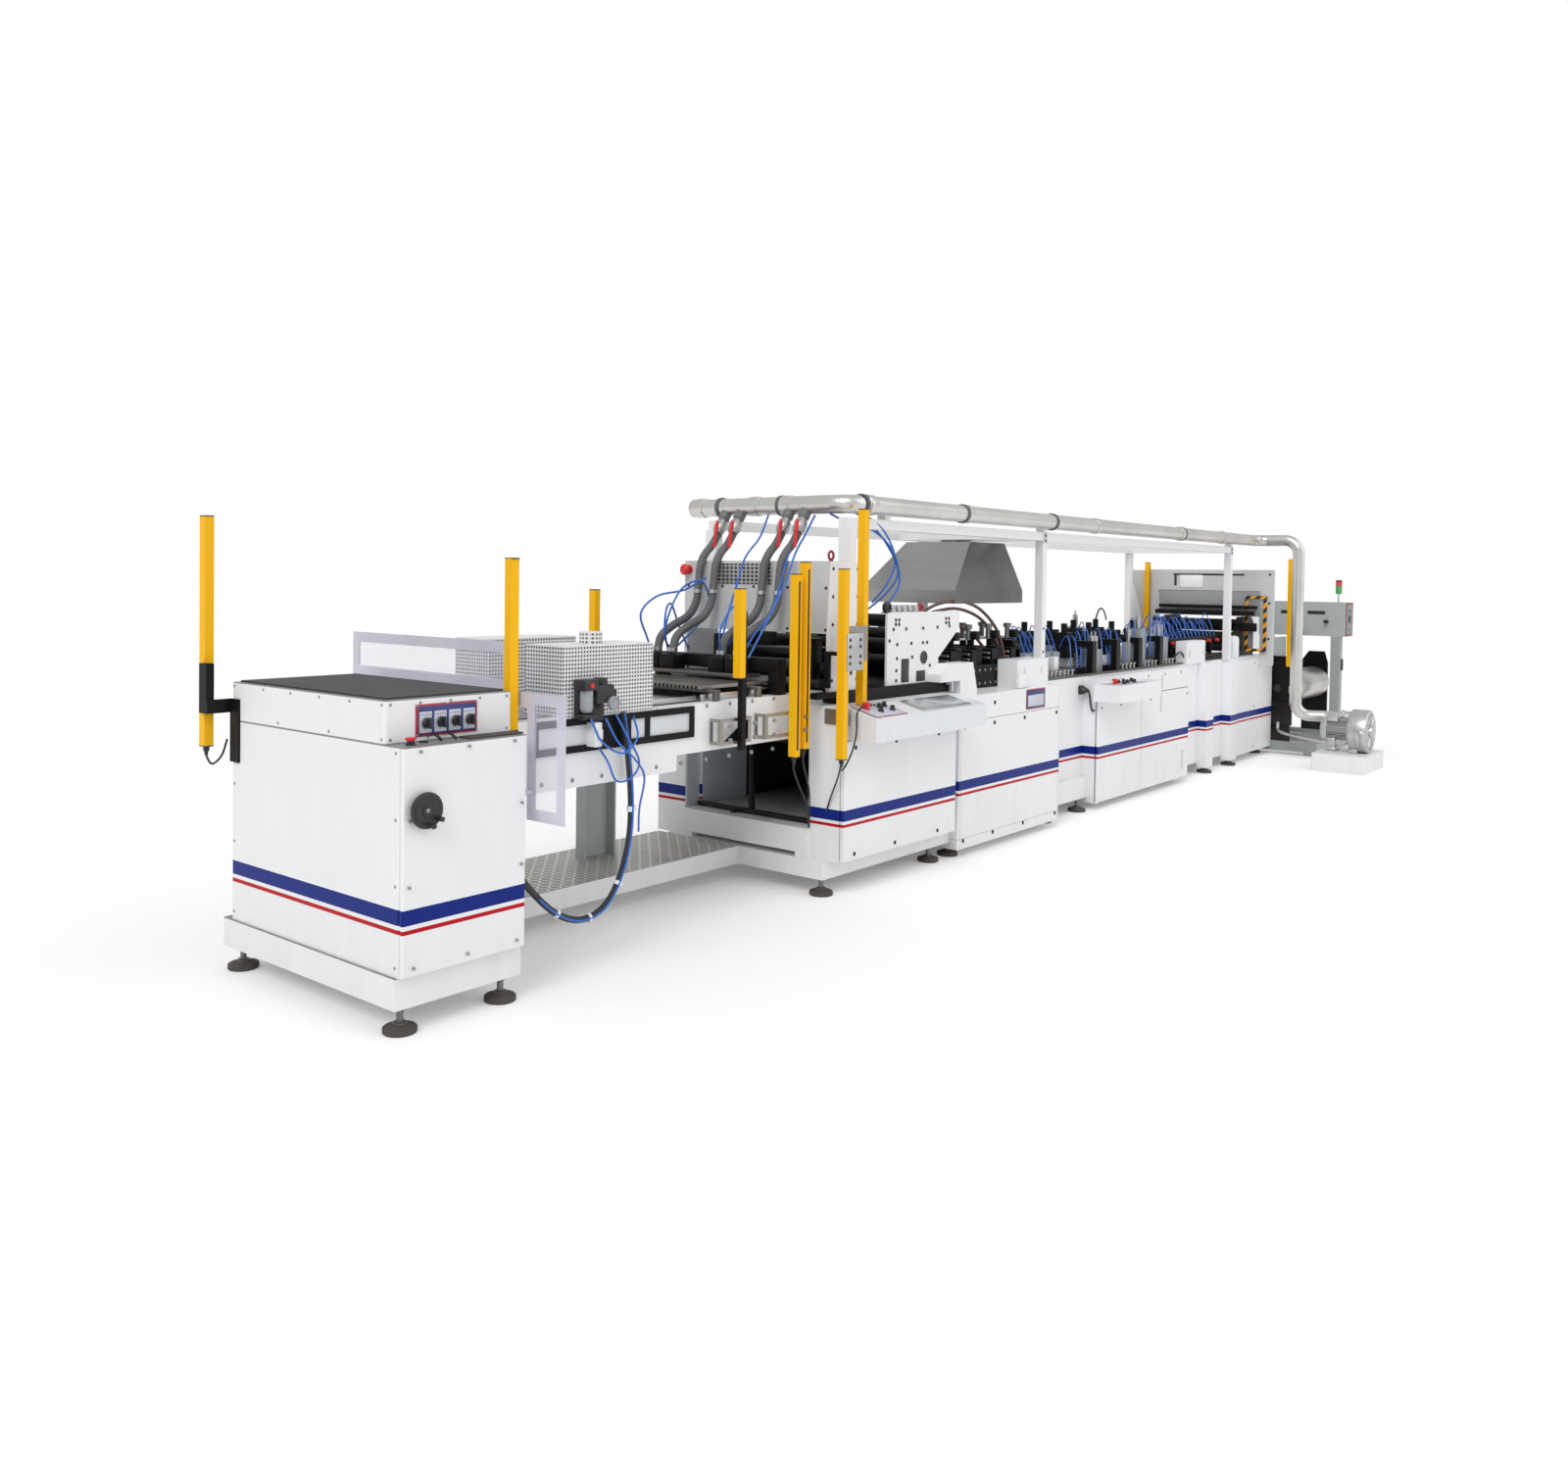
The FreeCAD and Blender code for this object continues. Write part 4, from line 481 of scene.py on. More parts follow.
head_top = [(x, 103, 1046) for x in (22, 135, 255, 375, 490)]
head_low = [(x, 103, 934) for x in (22, 165, 490)]
cover_rim = [(x, -8, 904) for x in (62, 250, 440)] + [(x, -8, 222) for x in (40, 250, 455)]
cover_rim += [(x, -8, z) for x in (22, 472) for z in (480, 690)]
screws("stacker_front_screws", head_top + head_low, FRONT, 3.8)
screws("stacker_cover_screws", cover_rim, FRONT, 3.8)
side_rows = [(0, y, 1046) for y in (118, 300, 480, 660, 840, 1040)]
side_rows += [(0, y, 900) for y in (40, 1038)] + [(0, y, 936) for y in (118, 420, 740, 1040)]
side_rows += [(0, y, z) for y in (40, 1038) for z in (690, 480, 222)]
screws("stacker_side_screws", side_rows, LEFT, 3.8)


def lathe(name, profile, centres, axis, sides, finish):
    """A piece made of one turned profile at each centre."""
    return skin(name, [turned(profile, centres, axis, sides)], finish)


def tubing(name, routes, radius, sides, finish):
    """A piece made of round tubes, each on the smooth line through its route."""
    return skin(name, [tube(sweep_line(route), radius, sides) for route in routes], finish)


def blocks(rows, edge=2.0):
    """Soft-edged boxes, a row of low and high corner each: a rounded outline in x and y is carried up z,
    drawn in along the edge's arc at both ends, and closed at its middle."""
    rows = np.asarray(rows, float).reshape(-1, 6)
    low, high = np.minimum(rows[:, :3], rows[:, 3:]), np.maximum(rows[:, :3], rows[:, 3:])
    middle, half = (low + high) / 2, (high - low) / 2
    edge = np.minimum(edge, half.min(axis=1) * 0.9)[:, None, None]
    corner = np.arange(12) // 3
    swing = np.radians(corner * 90 + np.arange(12) % 3 * 45)
    toward = np.radians(corner * 90 + 45)
    keep = np.array([0, 1, 1, 1, 1, 1, 1, 0])[None, :, None]
    grow = np.array([0, 0, 0.707, 1, 1, 0.707, 0, 0])[None, :, None]
    lift = np.array([-1, -1, -0.707, 0, 0, 0.707, 1, 1])[None, :, None]
    rise = np.array([-1, -1, -1, -1, 1, 1, 1, 1])[None, :, None]
    half = half[:, :, None, None]
    across = keep * (half[:, 0] - edge) * np.sign(np.cos(toward)) + grow * edge * np.cos(swing)
    deep = keep * (half[:, 1] - edge) * np.sign(np.sin(toward)) + grow * edge * np.sin(swing)
    tall = rise * (half[:, 2] - edge) + lift * edge + 0 * swing
    return middle[:, None, None, :] + np.stack([across, deep, tall], axis=-1)


def boxes(name, rows, edge, finish):
    """A piece made of soft-edged boxes."""
    return skin(name, [blocks(rows, edge)], finish)


# Knob panel: an enamelled plate with a blue head band and four pale fields, framed in dark red,
# and a pointer knob in each field. Two short leads come out under the knobs.
plate_blue = moulded("panel_blue", (0.022, 0.034, 0.15), 0.35)
plate_pale = moulded("panel_pale", (0.5, 0.52, 0.6), 0.35)
plate_frame = moulded("panel_frame", (0.30, 0.02, 0.04), 0.35)
knob_x = [151.5, 209.5, 267.5, 325.5]
back_plate = blocks([(116, 99.4, 935, 361, 103.2, 1040), (118, 97.6, 937, 359, 99.6, 1038)], 0.6)
plate = skin("knob_plate_frame", [back_plate], plate_frame)
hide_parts("stacker_controls")
boxes("knob_plate_band", [(124, 96.8, 942, 353, 98.4, 1033)], 0.5, plate_blue)
fields = [(x - 24, 96.2, 947, x + 24, 97.4, 1016) for x in knob_x]
boxes("knob_plate_fields", fields, 0.4, plate_pale)
ticks = [
    (x - 20 + 9 * step, 95.8, 1004, x - 17 + 9 * step, 96.5, 1009) for x in knob_x for step in range(5)
]
boxes("knob_plate_ticks", ticks, 0.3, plate_blue)
pointers = blocks([(x - 4, 66, 962, x + 4, 80, 998) for x in knob_x], 2.5)
skirt = [(0, 0), (17, 0), (17, 4), (14, 7), (13, 18), (0, 18)]
skirts = turned(skirt, [(x, 96, 980) for x in knob_x], FRONT, 24)
skin("knob_pointers", [pointers, skirts], black_plastic)
ring_profile = [(17, 0), (20, 0), (20, 3), (17, 4), (17, 0)]
lathe("knob_rings", ring_profile, [(x, 96.4, 980) for x in knob_x], FRONT, 24, zinc)
leads = [[(x, 88, 942), (x + 3, 72, 935), (x + 8, 66, 928), (x + 16, 70, 920)] for x in (178, 236)]
tubing("knob_leads", leads, 5.0, 8, black_sheath)
plate_corners = [(x, 98.4, z) for x in (121, 356) for z in (941, 1035)] + [(238, 98.4, 1036)]
screws("knob_plate_screws", plate_corners, FRONT, 3.2)
boxes("ledge_strip", [(276, 26, 919.5, 502, 86, 926)], 2, pad_rubber)
button = [(0, 12), (11, 12), (11, 15), (17, 17), (18, 22), (14, 26), (0, 27)]
lathe("ledge_stop_cap", button, [(62, 51.5, 919)], UP, 28, red_plastic)
stop_base = [(0, 0.5), (16, 0.5), (16, 6), (12, 8), (12, 13), (0, 13)]
lathe("ledge_stop_base", stop_base, [(62, 51.5, 919)], UP, 24, black_plastic)
lathe("ledge_socket", [(0, 0), (15, 0), (16, 3), (11, 5), (0, 5)], [(128, 75, 920)], UP, 20, black_plastic)

# Handwheel: a dished wheel moulded in black phenolic, with a finger grip on its rim. A centre
# bolt holds it to its shaft, which comes out of the cover through a zinc collar.
dress("handwheel", black_plastic)
wheel_middle = np.array([70.0, -24.0, 720.0])
rim_profile = [(42, 4), (46, -3), (52, -7), (57, -4), (58.5, 2), (56, 8), (50, 10), (45, 8), (42, 4)]
rim_ring = turned(rim_profile, [wheel_middle], FRONT, 48)
dish = turned([(0, 6), (16, 8), (26, 3), (40, 0), (46, 2), (46, -3), (0, -3)], [wheel_middle], FRONT, 40)
finger_grip = turned([(0, 0), (9, 0), (7, 8), (9, 16), (10, 24), (7, 31), (0, 32)], [(76, -30, 673)], FRONT)
skin("handwheel_rim", [rim_ring, dish, finger_grip], black_plastic, body="wheel")
screws("handwheel_bolt", [(70, -33, 720)], FRONT, 8.0, "wheel")
collar = [(0, 0), (30, 0), (30, 4), (24, 10), (0, 10)]
lathe("handwheel_collar", collar, [(70, -9, 720)], FRONT, 28, zinc)


# Light curtains: extruded aluminium posts, powder coated signal yellow, with a dark sensing
# window down one side, black end caps and black brackets. A lead leaves each lower end.
yellow_coat = coat("yellow_coat", (0.95, 0.50, 0.006), 0.3)
black_coat = coat("black_coat", (0.007, 0.007, 0.008), 0.42, slot="black_paint")
window_dark = moulded("window_dark", (0.05, 0.02, 0.012), 0.12)
# Each post: x, y, its low and high end, and the side that its sensing window is on
POSTS = [
    (-65, 1120, 827, 1662, 1),
    (530, 128, 920, 1521, 1),
    (1792, 1051, 735, 1396, 1),
    (2480, -12, 880, 1785, 1),
    (2262, -60, 656, 1507, 1),
    (2180, 92, 697, 1535, -1),
    (2112, 92, 667, 1481, -1),
    (1725, 92, 1040, 1416, 1),
    (8500, 1074, 1048, 1636, -1),
    (8850, -40, 758, 1672, 1),
]


def on_posts(first, last):
    """A test for the faces of these posts: those within half a post's breadth of its line, and between
    its ends."""

    def test(middle, outward):
        flags = np.zeros(len(middle), bool)
        for x, y, low, high, _ in POSTS[first:last]:
            near = (abs(middle[:, 0] - x) < 17.6) & (abs(middle[:, 1] - y) < 20.6)
            flags |= near & (middle[:, 2] > low - 1) & (middle[:, 2] < high + 1)
        return flags

    return test


dress("stacker_curtain", black_coat, (yellow_coat, on_posts(0, 1)))
dress("delivery_curtain", yellow_coat)
dress("rear_curtain", black_coat, (yellow_coat, lambda middle, outward: middle[:, 1] > 1030))
dress(
    "infeed_curtains", black_coat,
    (yellow_coat, lambda middle, outward: (middle[:, 1] > 1053) | (middle[:, 1] < -19)),
)


def on_tall_stay(middle, outward):
    """Faces of the black bar that stands behind the lowest post."""
    return (middle[:, 0] > 1740) & (middle[:, 0] < 1768) & (middle[:, 2] > 732) & (middle[:, 2] < 1309)


stay_finish = Finish("stay_steel", (0.36, 0.34, 0.31), 0.36, 1.0)
stay_point, (stay_x, stay_y, stay_z) = stay_finish.place()
stay_grain = stay_finish.noise(stay_point, 18.0, 5.0, (1.0, 1.0, 20.0))
stay_finish.paint(stay_grain, (0.46, 0.44, 0.41, 1), (0.30, 0.28, 0.25, 1))
stay_open = stay_x.between(-3.3677, -3.2077) + stay_x.between(-3.0707, -2.8537)
stay_open = stay_open + stay_y.between(-0.0335, 0.0005)
stay_finish.set("Alpha", 1 - (stay_open > 0.5) * stay_z.between(0.774, 0.856))
stay_finish.bump(stay_grain, 0.05, 0.0005)
dress("head_curtains", stay_finish, (black_coat, on_tall_stay), (yellow_coat, on_posts(3, 8)))
windows = [
    (x - 8, y + side * 19.2, low + 30, x + 4, y + side * 21.4, high - 30)
    for x, y, low, high, side in POSTS
]
boxes("curtain_windows", windows, 1.0, window_dark)
caps = [(x - 18, y - 21, high - 2, x + 18, y + 21, high + 3) for x, y, _, high, _ in POSTS]
caps += [(x - 18, y - 21, low - 3, x + 18, y + 21, low + 2) for x, y, low, _, _ in POSTS]
boxes("curtain_caps", caps, 2.0, black_plastic)

# The delivery section: welded beams with black framed windows, a flat belt between them and two
# boxes of perforated sheet over the drives. The walkway is chequer plate on a folded frame.
guard = Finish("clear_guard", (0.72, 0.71, 0.84), 0.12)
guard_point, (_, guard_y, guard_z) = guard.place()
guard_cloud = guard.noise(guard_point, 5.0)
lower = guard_y.between(-0.2335, -0.1215) * guard_z.between(0.648, 1.012)
upper = guard_y.between(-0.0515, 0.9555) * guard_z.between(1.092, 1.186)
clear_part = lower.at_least(upper)
guard.paint(guard_cloud, (0.62, 0.61, 0.74, 1), (0.76, 0.75, 0.84, 1))
guard.set("Alpha", 0.80 - 0.62 * clear_part)
dress("guard_plate", guard)
dress("delivery_beams", white_coat)
dress("head_base", striped_coat)
dress("window_frames", black_coat)
belt_finish = Finish("woven_belt", (0.36, 0.38, 0.38), 0.6)
belt_point, (belt_x, belt_y, _) = belt_finish.place()
weave = abs((belt_x * 300.0).fract() - 0.5) + abs((belt_y * 300.0).fract() - 0.5)
belt_dirt = belt_finish.noise(belt_point, 4.0, 5.0)
belt_finish.paint(belt_dirt, (0.30, 0.32, 0.33, 1), (0.46, 0.48, 0.48, 1))
belt_finish.bump(weave, 0.2, 0.0006)
dress("delivery_belt", belt_finish)
dress("delivery_bed", steel)
dress("delivery_column", coat("grey_coat", (0.48, 0.52, 0.52), 0.36))

mesh_finish = Finish("perforated_sheet", WHITE, 0.4)
mesh_point, (mesh_x, mesh_y, mesh_z) = mesh_finish.place()
mesh_normal = mesh_finish.add("ShaderNodeNewGeometry", out="Normal")
facing = [
    abs(mesh_finish.add("ShaderNodeSeparateXYZ", None, {0: mesh_normal}, out=axis)) > 0.7
    for axis in range(3)
]
PITCH = 1000.0 / 15.0  # holes in a metre
along_sheet = mesh_x * (1 - facing[0]) + mesh_y * facing[0]
up_sheet = mesh_z * (1 - facing[2]) + mesh_y * facing[2]
hole_and_painted_shade = (abs((along_sheet * PITCH).fract() - 0.5) < 0.3) * (abs((up_sheet * PITCH).fract() - 0.5) < 0.3)
hole_and_painted_shade = hole_and_painted_shade * (1 - facing[2])
mesh_finish.set("Alpha", 1.0 - 0.45 * hole_and_painted_shade)
sheet_cloud = mesh_finish.noise(mesh_point, 6.0)
sheet_tone = mesh_finish.blend(sheet_cloud, (0.86, 0.87, 0.88, 1), (0.77, 0.78, 0.79, 1))
# Holes are painted near black: painted shade of the inside, where there is also dark machinery.
mesh_finish.paint(hole_and_painted_shade, sheet_tone, (0.10, 0.10, 0.10, 1))
dress("guard_boxes", mesh_finish)

tread = Finish("chequer_plate", (0.60, 0.59, 0.57), 0.4, 0.35)
tread_point, (tread_x, tread_y, _) = tread.place()
slant = (tread_x + tread_y) * 15.0
across = (tread_x - tread_y) * 15.0
lozenge = (abs(slant.fract() - 0.5) < 0.14) * (abs(across.fract() - 0.5) < 0.34)
crossed = (abs((slant + 0.5).fract() - 0.5) < 0.34) * (abs((across + 0.5).fract() - 0.5) < 0.14)
raised = lozenge.at_least(crossed)
tread_dirt = tread.noise(tread_point, 7.0, 5.0)
tread_tone = tread.blend(tread_dirt, (0.34, 0.32, 0.285, 1), (0.56, 0.54, 0.50, 1))
tread.paint(raised * 0.9, tread_tone, (0.90, 0.89, 0.87, 1))
tread.set("Roughness", 0.5 - 0.2 * raised)
tread.bump(raised, 0.9, 0.003)
dress("walkway", white_coat, (tread, lambda middle, outward: (middle[:, 2] > 160) & (outward[:, 2] > 0.5)))

# Air preparation unit: a black filter and regulator on a bracket, with a grey bowl, a gauge and a
# pale valve block. Blue tubes loop down from it.
grey_bowl = moulded("grey_bowl", (0.30, 0.32, 0.34), 0.25)
unit_black = [
    (858, 104, 1036, 930, 168, 1078), (862, 150, 935, 926, 170, 1040), (858, 108, 930, 928, 162, 948),
    (924, 108, 985, 1014, 168, 1056), (930, 150, 915, 1000, 171, 990), (1012, 118, 996, 1038, 160, 1034),
]
knob_ring = [(0, 0), (26, 0), (28, 4), (28, 20), (22, 26), (0, 26)]
unit_knob = turned(knob_ring, [(966, 138, 1055)], UP, 20)
unit = skin("air_unit_body", [blocks(unit_black, 5), unit_knob], black_plastic)
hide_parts("air_unit")
bowl = [(0, 0), (14, 2), (22, 9), (25, 22), (25, 86), (0, 86)]
gauge = [(0, 0), (25, 0), (27, 4), (27, 16), (23, 19), (23, 15), (0, 15)]
bowls = [turned(bowl, [(893, 134, 950)], UP, 24), turned(gauge, [(1004, 112, 984)], FRONT, 24)]
skin("air_unit_bowl", bowls, grey_bowl)
boxes("air_unit_valve", [(920, 112, 822, 956, 170, 914), (926, 100, 850, 950, 114, 890)], 4, white_coat)
lathe("air_button", [(0, 0), (9, 0), (9, 6), (0, 8)], [(892, 104, 1056)], FRONT, 20, red_plastic)
air_loops = [
    [(886, 100, 932), (905, 60, 850), (1000, 45, 800), (1090, 60, 850), (1108, 100, 925)],
    [(960, 100, 930), (985, 55, 840), (1060, 40, 770), (1140, 70, 690), (1165, 120, 560), (1160, 118, 470)],
    [
        (1010, 95, 940), (1030, 55, 860), (1090, 50, 760), (1060, 60, 700), (1010, 90, 690),
        (985, 110, 760), (975, 150, 812),
    ],
]
tubing("air_unit_tubes", air_loops, 4.0, 8, blue_tube)

beam_screws = [(x, 171, z) for x in range(560, 2400, 150) for z in (925, 700)]
screws("beam_screws", beam_screws, FRONT, 6.5)
pane = Finish("window_pane", (0.62, 0.64, 0.66), 0.12)
pane_point, _ = pane.place()
pane_tone = pane.blend(pane.noise(pane_point, 3.0), (0.60, 0.62, 0.64, 1), (0.74, 0.76, 0.78, 1))
pane.set("Base Color", pane_tone)
panes = [(672, y, 815, 1513, y + 3, 920) for y in (167.5, 941.5)]
boxes("beam_window_panes", panes, 0.5, pane)


# The head: a console cabinet with a hinged door under a sloping desk, a bed with slide rails, and
# a tall portal plate with a perforated window. Bent steel brackets hold the light curtains.
striped_nodes = ["console_cabinet", "console_door", "seal_cabinet", "seal_door_left", "seal_door_right"]
for node in (*striped_nodes, "infeed_covers"):
    dress(node, striped_coat)

# Inside of the head: the sheets of the bed and of the far cabinet get painted shade, plain grey here,
# without stripes, and black painted shadow further in.
PAINTED_SHADOW_FROM = -2.24
inner_painted_shade = Finish("inner_painted_shade", (0.30, 0.33, 0.35), 0.45)
inner_point, (inner_x, _, _) = inner_painted_shade.place()
inner_cloud = inner_painted_shade.noise(inner_point, 6.0, 4.0)
inner_shade_tone = inner_painted_shade.blend(inner_cloud, (0.50, 0.55, 0.58, 1), (0.68, 0.74, 0.78, 1))
# Painted shade: grey near the opening, and black painted shadow further in.
inner_painted_shade.paint(inner_x > PAINTED_SHADOW_FROM, inner_shade_tone, (0.012, 0.012, 0.014, 1))
inner_painted_shade.bump(inner_cloud, 0.05, 0.001)
for node in ("far_cabinets", "line_frame"):
    dress(
        node, striped_coat,
        (inner_painted_shade, lambda middle, outward: (outward[:, 1] < -0.5) & (middle[:, 1] > 800)),
    )
drive_seams = [(2, 0.7175, 0.721), (2, 0.100, 0.102), (0, -1.572, -1.570), (0, -0.438, -0.436)]
dress("drive_cabinet", coat("drive_coat", WHITE, stripes=True, seams=drive_seams))
dress("console_desk", coat("desk_coat", (0.78, 0.80, 0.82), 0.3))
dress("head_bed_block", black_coat)
dress("head_rails", black_coat)
plate_coat = coat("plate_coat", (0.62, 0.63, 0.64), 0.34)
dress("head_portal", plate_coat, (white_coat, lambda middle, outward: middle[:, 1] < 121))
dress("holed_plates", white_coat)
dress("head_rollers", black_coat)
dress("drive_housings", white_coat)

grid_finish = Finish("punched_window", (0.3, 0.3, 0.3), 0.5, 0.4)
_, (_, grid_y, grid_z) = grid_finish.place()
punched = (abs((grid_y * 38.0).fract() - 0.5) < 0.33) * (abs((grid_z * 52.0).fract() - 0.5) < 0.33)
# The punched holes are painted near black: painted shade of the inside behind them.
grid_finish.paint(punched, (0.50, 0.50, 0.50, 1), (0.04, 0.04, 0.04, 1))
grid_finish.bump(1 - punched, 0.5, 0.002)
boxes("portal_window", [(2377, 444, 1432, 2380.5, 802, 1532)], 0.5, grid_finish)
button_profile = [(0, 0), (24, 0), (24, 10), (17, 12), (17, 22), (27, 25), (28, 38), (20, 46), (0, 47)]
lathe("portal_stop", button_profile, [(2380, 985, 1500)], LEFT, 24, red_plastic)
ring_angle = np.linspace(0, 2 * np.pi, 33)[:, None]
eye_ring = np.cos(ring_angle) * [1, 0, 0] + np.sin(ring_angle) * [0, 0, 1]
eye_line = np.array([[2390.0, 106.0, 1571.0]]) + 19 * eye_ring
eye_foot = blocks([(2382, 98, 1543, 2398, 114, 1556)], 3)
dark_red = moulded("dark_red", (0.24, 0.012, 0.02), 0.35)
skin("portal_eye", [tube(eye_line, 6.0, 10), eye_foot], dark_red)
panel_screws = [(2380, y, z) for y in (125, 350, 560, 760, 985) for z in (1225, 1420)]
panel_screws += [(2380, y, z) for y in (118, 990) for z in (1010, 1110)]
screws("portal_screws", panel_screws, LEFT, 5.5, finish=black_plastic)
front_dots = [(x, 100, z) for x in (2402, 2598) for z in (990, 1120, 1250, 1380, 1510)]
front_dots += [(x, 100, z) for x in (2470, 2500) for z in (1180, 1205, 1395, 1420)]
screws("portal_front_screws", front_dots, FRONT, 6.0, finish=black_plastic)
boxes("portal_slot", [(2545, 97.5, 1010, 2562, 100.4, 1090)], 2, black_plastic)

# Side plate of the rollers: its laser-cut holes are black pieces of painted shade for the dark inside,
# with capped ends of the rollers along its top edge.
hole_rim = [(0, -0.5), (1, -0.5), (1, 0.6), (0.86, 0.6), (0.8, -0.2), (0, -0.2)]
plate_holes = [
    (2935, 1262), (2965, 1262), (2935, 1240), (2965, 1240), (3415, 1262), (3445, 1262), (3415, 1240),
    (3445, 1240), (2915, 1216), (3030, 1216), (3190, 1216), (3330, 1218), (3450, 1222), (2880, 1160),
    (2950, 1140), (3080, 1142), (3190, 1142), (3230, 1142), (2950, 1070), (3090, 1072), (2945, 1010),
    (3260, 1022), (2945, 960), (3260, 960),
]
hole_grid = turned(np.array(hole_rim) * [9, 2], [(x, 99.2, z) for x, z in plate_holes], FRONT, 16)
big_hole = turned(np.array(hole_rim) * [34, 2], [(3200, 99.2, 1066)], FRONT, 28)
cut_outs = blocks([(2990, 98, 948, 3060, 100.4, 1066), (3130, 98, 946, 3215, 100.4, 1000)], 6)
# The holes and cut-outs are black discs and blocks: painted shade of the inside.
skin("plate_holes", [hole_grid, big_hole, cut_outs], black_plastic)
cap_profile = [(0, 0), (26, 0), (30, 6), (30, 20), (22, 26), (12, 28), (10, 20), (0, 20)]
lathe("roller_caps", cap_profile, [(2870, 122, 1325)], FRONT, 28, black_plastic)
lathe("roller_cap_red", np.array(cap_profile) * [0.8, 0.7], [(3180, 122, 1322)], FRONT, 28, dark_red)
actuators = [(2905 + 52 * n, 104, 1300 + 3 * (n % 2), 2945 + 52 * n, 150, 1335) for n in range(5)]
actuator_shelf = blocks([(2862, 103, 1296, 3200, 140, 1303)], 1)
skin("roller_actuators", [blocks(actuators, 4), actuator_shelf], steel)

# Slide bars and driven rollers that fill the head under the portal: bright ground bars, black
# rubber faced rollers and the black castings that carry them.
inner_rollers = [
    (2450, 965, 24), (2520, 1030, 32), (2600, 985, 28), (2660, 1090, 30), (2745, 1020, 34),
    (2820, 1085, 26),
]
grids = [turned([(0, 0), (r, 0), (r, 726), (0, 726)], [(x, 193, z)], BACK, 20) for x, z, r in inner_rollers]
skin("head_inner_rollers", grids, black_plastic)
slide_bars = [(2150, y, 968, 2870, y + 16, 984) for y in (300, 420, 560, 700, 820)]
boxes("head_slide_bars", slide_bars, 4, steel)
drive_blocks = [
    (2440, 240, 914, 2520, 330, 1180), (2560, 255, 914, 2660, 350, 1130),
    (2700, 240, 914, 2850, 330, 1210), (2440, 780, 914, 2520, 870, 1180),
    (2700, 780, 914, 2850, 870, 1210), (2452, 196, 1190, 2850, 232, 1240), (2440, 330, 914, 2850, 780, 940),
]
boxes("head_drive_blocks", drive_blocks, 8, black_coat)
rail_pads = [(x, 96, 906, x + 60, 118, 914) for x in range(2480, 3340, 130)]
boxes("rail_clamps", rail_pads, 3, dark_steel)

# Floor of the head: a plain sheet on the base's beams, with black bars lying and standing over
# its open end.
boxes("head_floor", [(2352, 180, 305.4, 3400, 918, 309)], 1, plate_coat)
floor_bars = [
    (2386, 200, 309, 2410, 915, 333), (2386, 556, 333, 2410, 580, 668), (2350, 640, 309, 2386, 664, 325),
]
boxes("head_floor_bars", floor_bars, 3, black_coat)

# Transfer deck: a dark slotted steel plate on cross bars, over the end of the belt. Thin steel
# strips guide the pouches at its sides.
deck = Finish("slotted_deck", (0.12, 0.11, 0.10), 0.4, 0.7)
deck_point, (deck_x, deck_y, _) = deck.place()
deck_slot = ((deck_y * 42.0).fract() < 0.45) * ((deck_x * 7.5).fract() > 0.16)
deck_wear = deck.noise(deck_point, 8.0, 5.0)
deck_tone = deck.blend(deck_wear, (0.16, 0.15, 0.135, 1), (0.36, 0.345, 0.32, 1))
# The slots are painted near black: painted shade of the space under the deck.
deck.paint(deck_slot, deck_tone, (0.012, 0.012, 0.012, 1))
deck.bump(1 - deck_slot, 0.6, 0.003)
boxes("transfer_deck", [(1640, 242, 985, 2300, 868, 1000)], 2, deck)
deck_bars = [(x, 180, 970, x + 30, 930, 985) for x in (1680, 1960, 2230)]
deck_bars += [(x, y, 937.5, x + 30, y + 24, 971) for x in (1680, 1960, 2230) for y in (182, 904)]
boxes("deck_bars", deck_bars, 3, dark_steel)
belt_guides = [(x, 232, 938, x + 300, 238, 966) for x in (1640, 1960, 2000)]
belt_guides += [(1240, y, 940, 1620, y + 6, 962) for y in (240, 860)]
boxes("belt_guides", belt_guides, 2, steel)

# Vacuum head: four grey corrugated hoses drop from the suction pipe over the portal and sweep
# down to boxes on a beam across the belt, each with a clamped sleeve and a red lever valve.
HOSE_LINES = (370, 470, 780, 880)
hose_finish = Finish("ribbed_hose", (0.13, 0.135, 0.14), 0.45, slot="black_rubber")
hose_uv = hose_finish.add("ShaderNodeUVMap", {"uv_map": "along"})
hose_run = hose_finish.add("ShaderNodeSeparateXYZ", None, {0: hose_uv}, out=1)
hose_rib = abs((hose_run * 110.0).fract() - 0.5)
hose_point, _ = hose_finish.place()
hose_dust = hose_finish.noise(hose_point, 11.0, 4.0)
# The grooves between the ribs are painted darker than the crests: painted shade.
hose_groove_shade = hose_finish.blend(hose_rib, (0.07, 0.073, 0.077, 1), (0.19, 0.195, 0.20, 1))
hose_finish.paint(hose_dust * 0.35, hose_groove_shade, (0.28, 0.28, 0.28, 1))
hose_finish.bump(hose_rib, 0.8, 0.004)
hose_shape = [
    (2482, 1684), (2436, 1626), (2388, 1584), (2352, 1530), (2338, 1440), (2322, 1345), (2264, 1272),
    (2150, 1224), (2072, 1176), (2045, 1098),
]
hose_lines = [sweep_line([(x, y, z) for x, z in hose_shape], 6) for y in HOSE_LINES]
hoses = skin("vacuum_hoses", [tube(line, 20.0, 16) for line in hose_lines], hose_finish)


def lay_along(piece, lines):
    """Gives each corner of a hose its distance along the hose, in metres, for the ribs."""
    points = np.concatenate(lines)
    runs = np.concatenate(
        [np.r_[0, np.cumsum(np.linalg.norm(np.diff(line, axis=0), axis=1))] for line in lines]
    )
    mesh = piece.data
    corners = np.empty(len(mesh.vertices) * 3)
    mesh.vertices.foreach_get("co", corners)
    corners = corners.reshape(-1, 3) * 1000 + LINE_DATUM
    near = np.argmin(((corners[:, None, :] - points[None]) ** 2).sum(axis=2), axis=1)
    loops = np.empty(len(mesh.loops), dtype=np.int32)
    mesh.loops.foreach_get("vertex_index", loops)
    layer = mesh.uv_layers.new(name="along")
    layer.data.foreach_set("uv", np.stack([0 * loops, runs[near[loops]] / 1000], axis=-1).ravel())


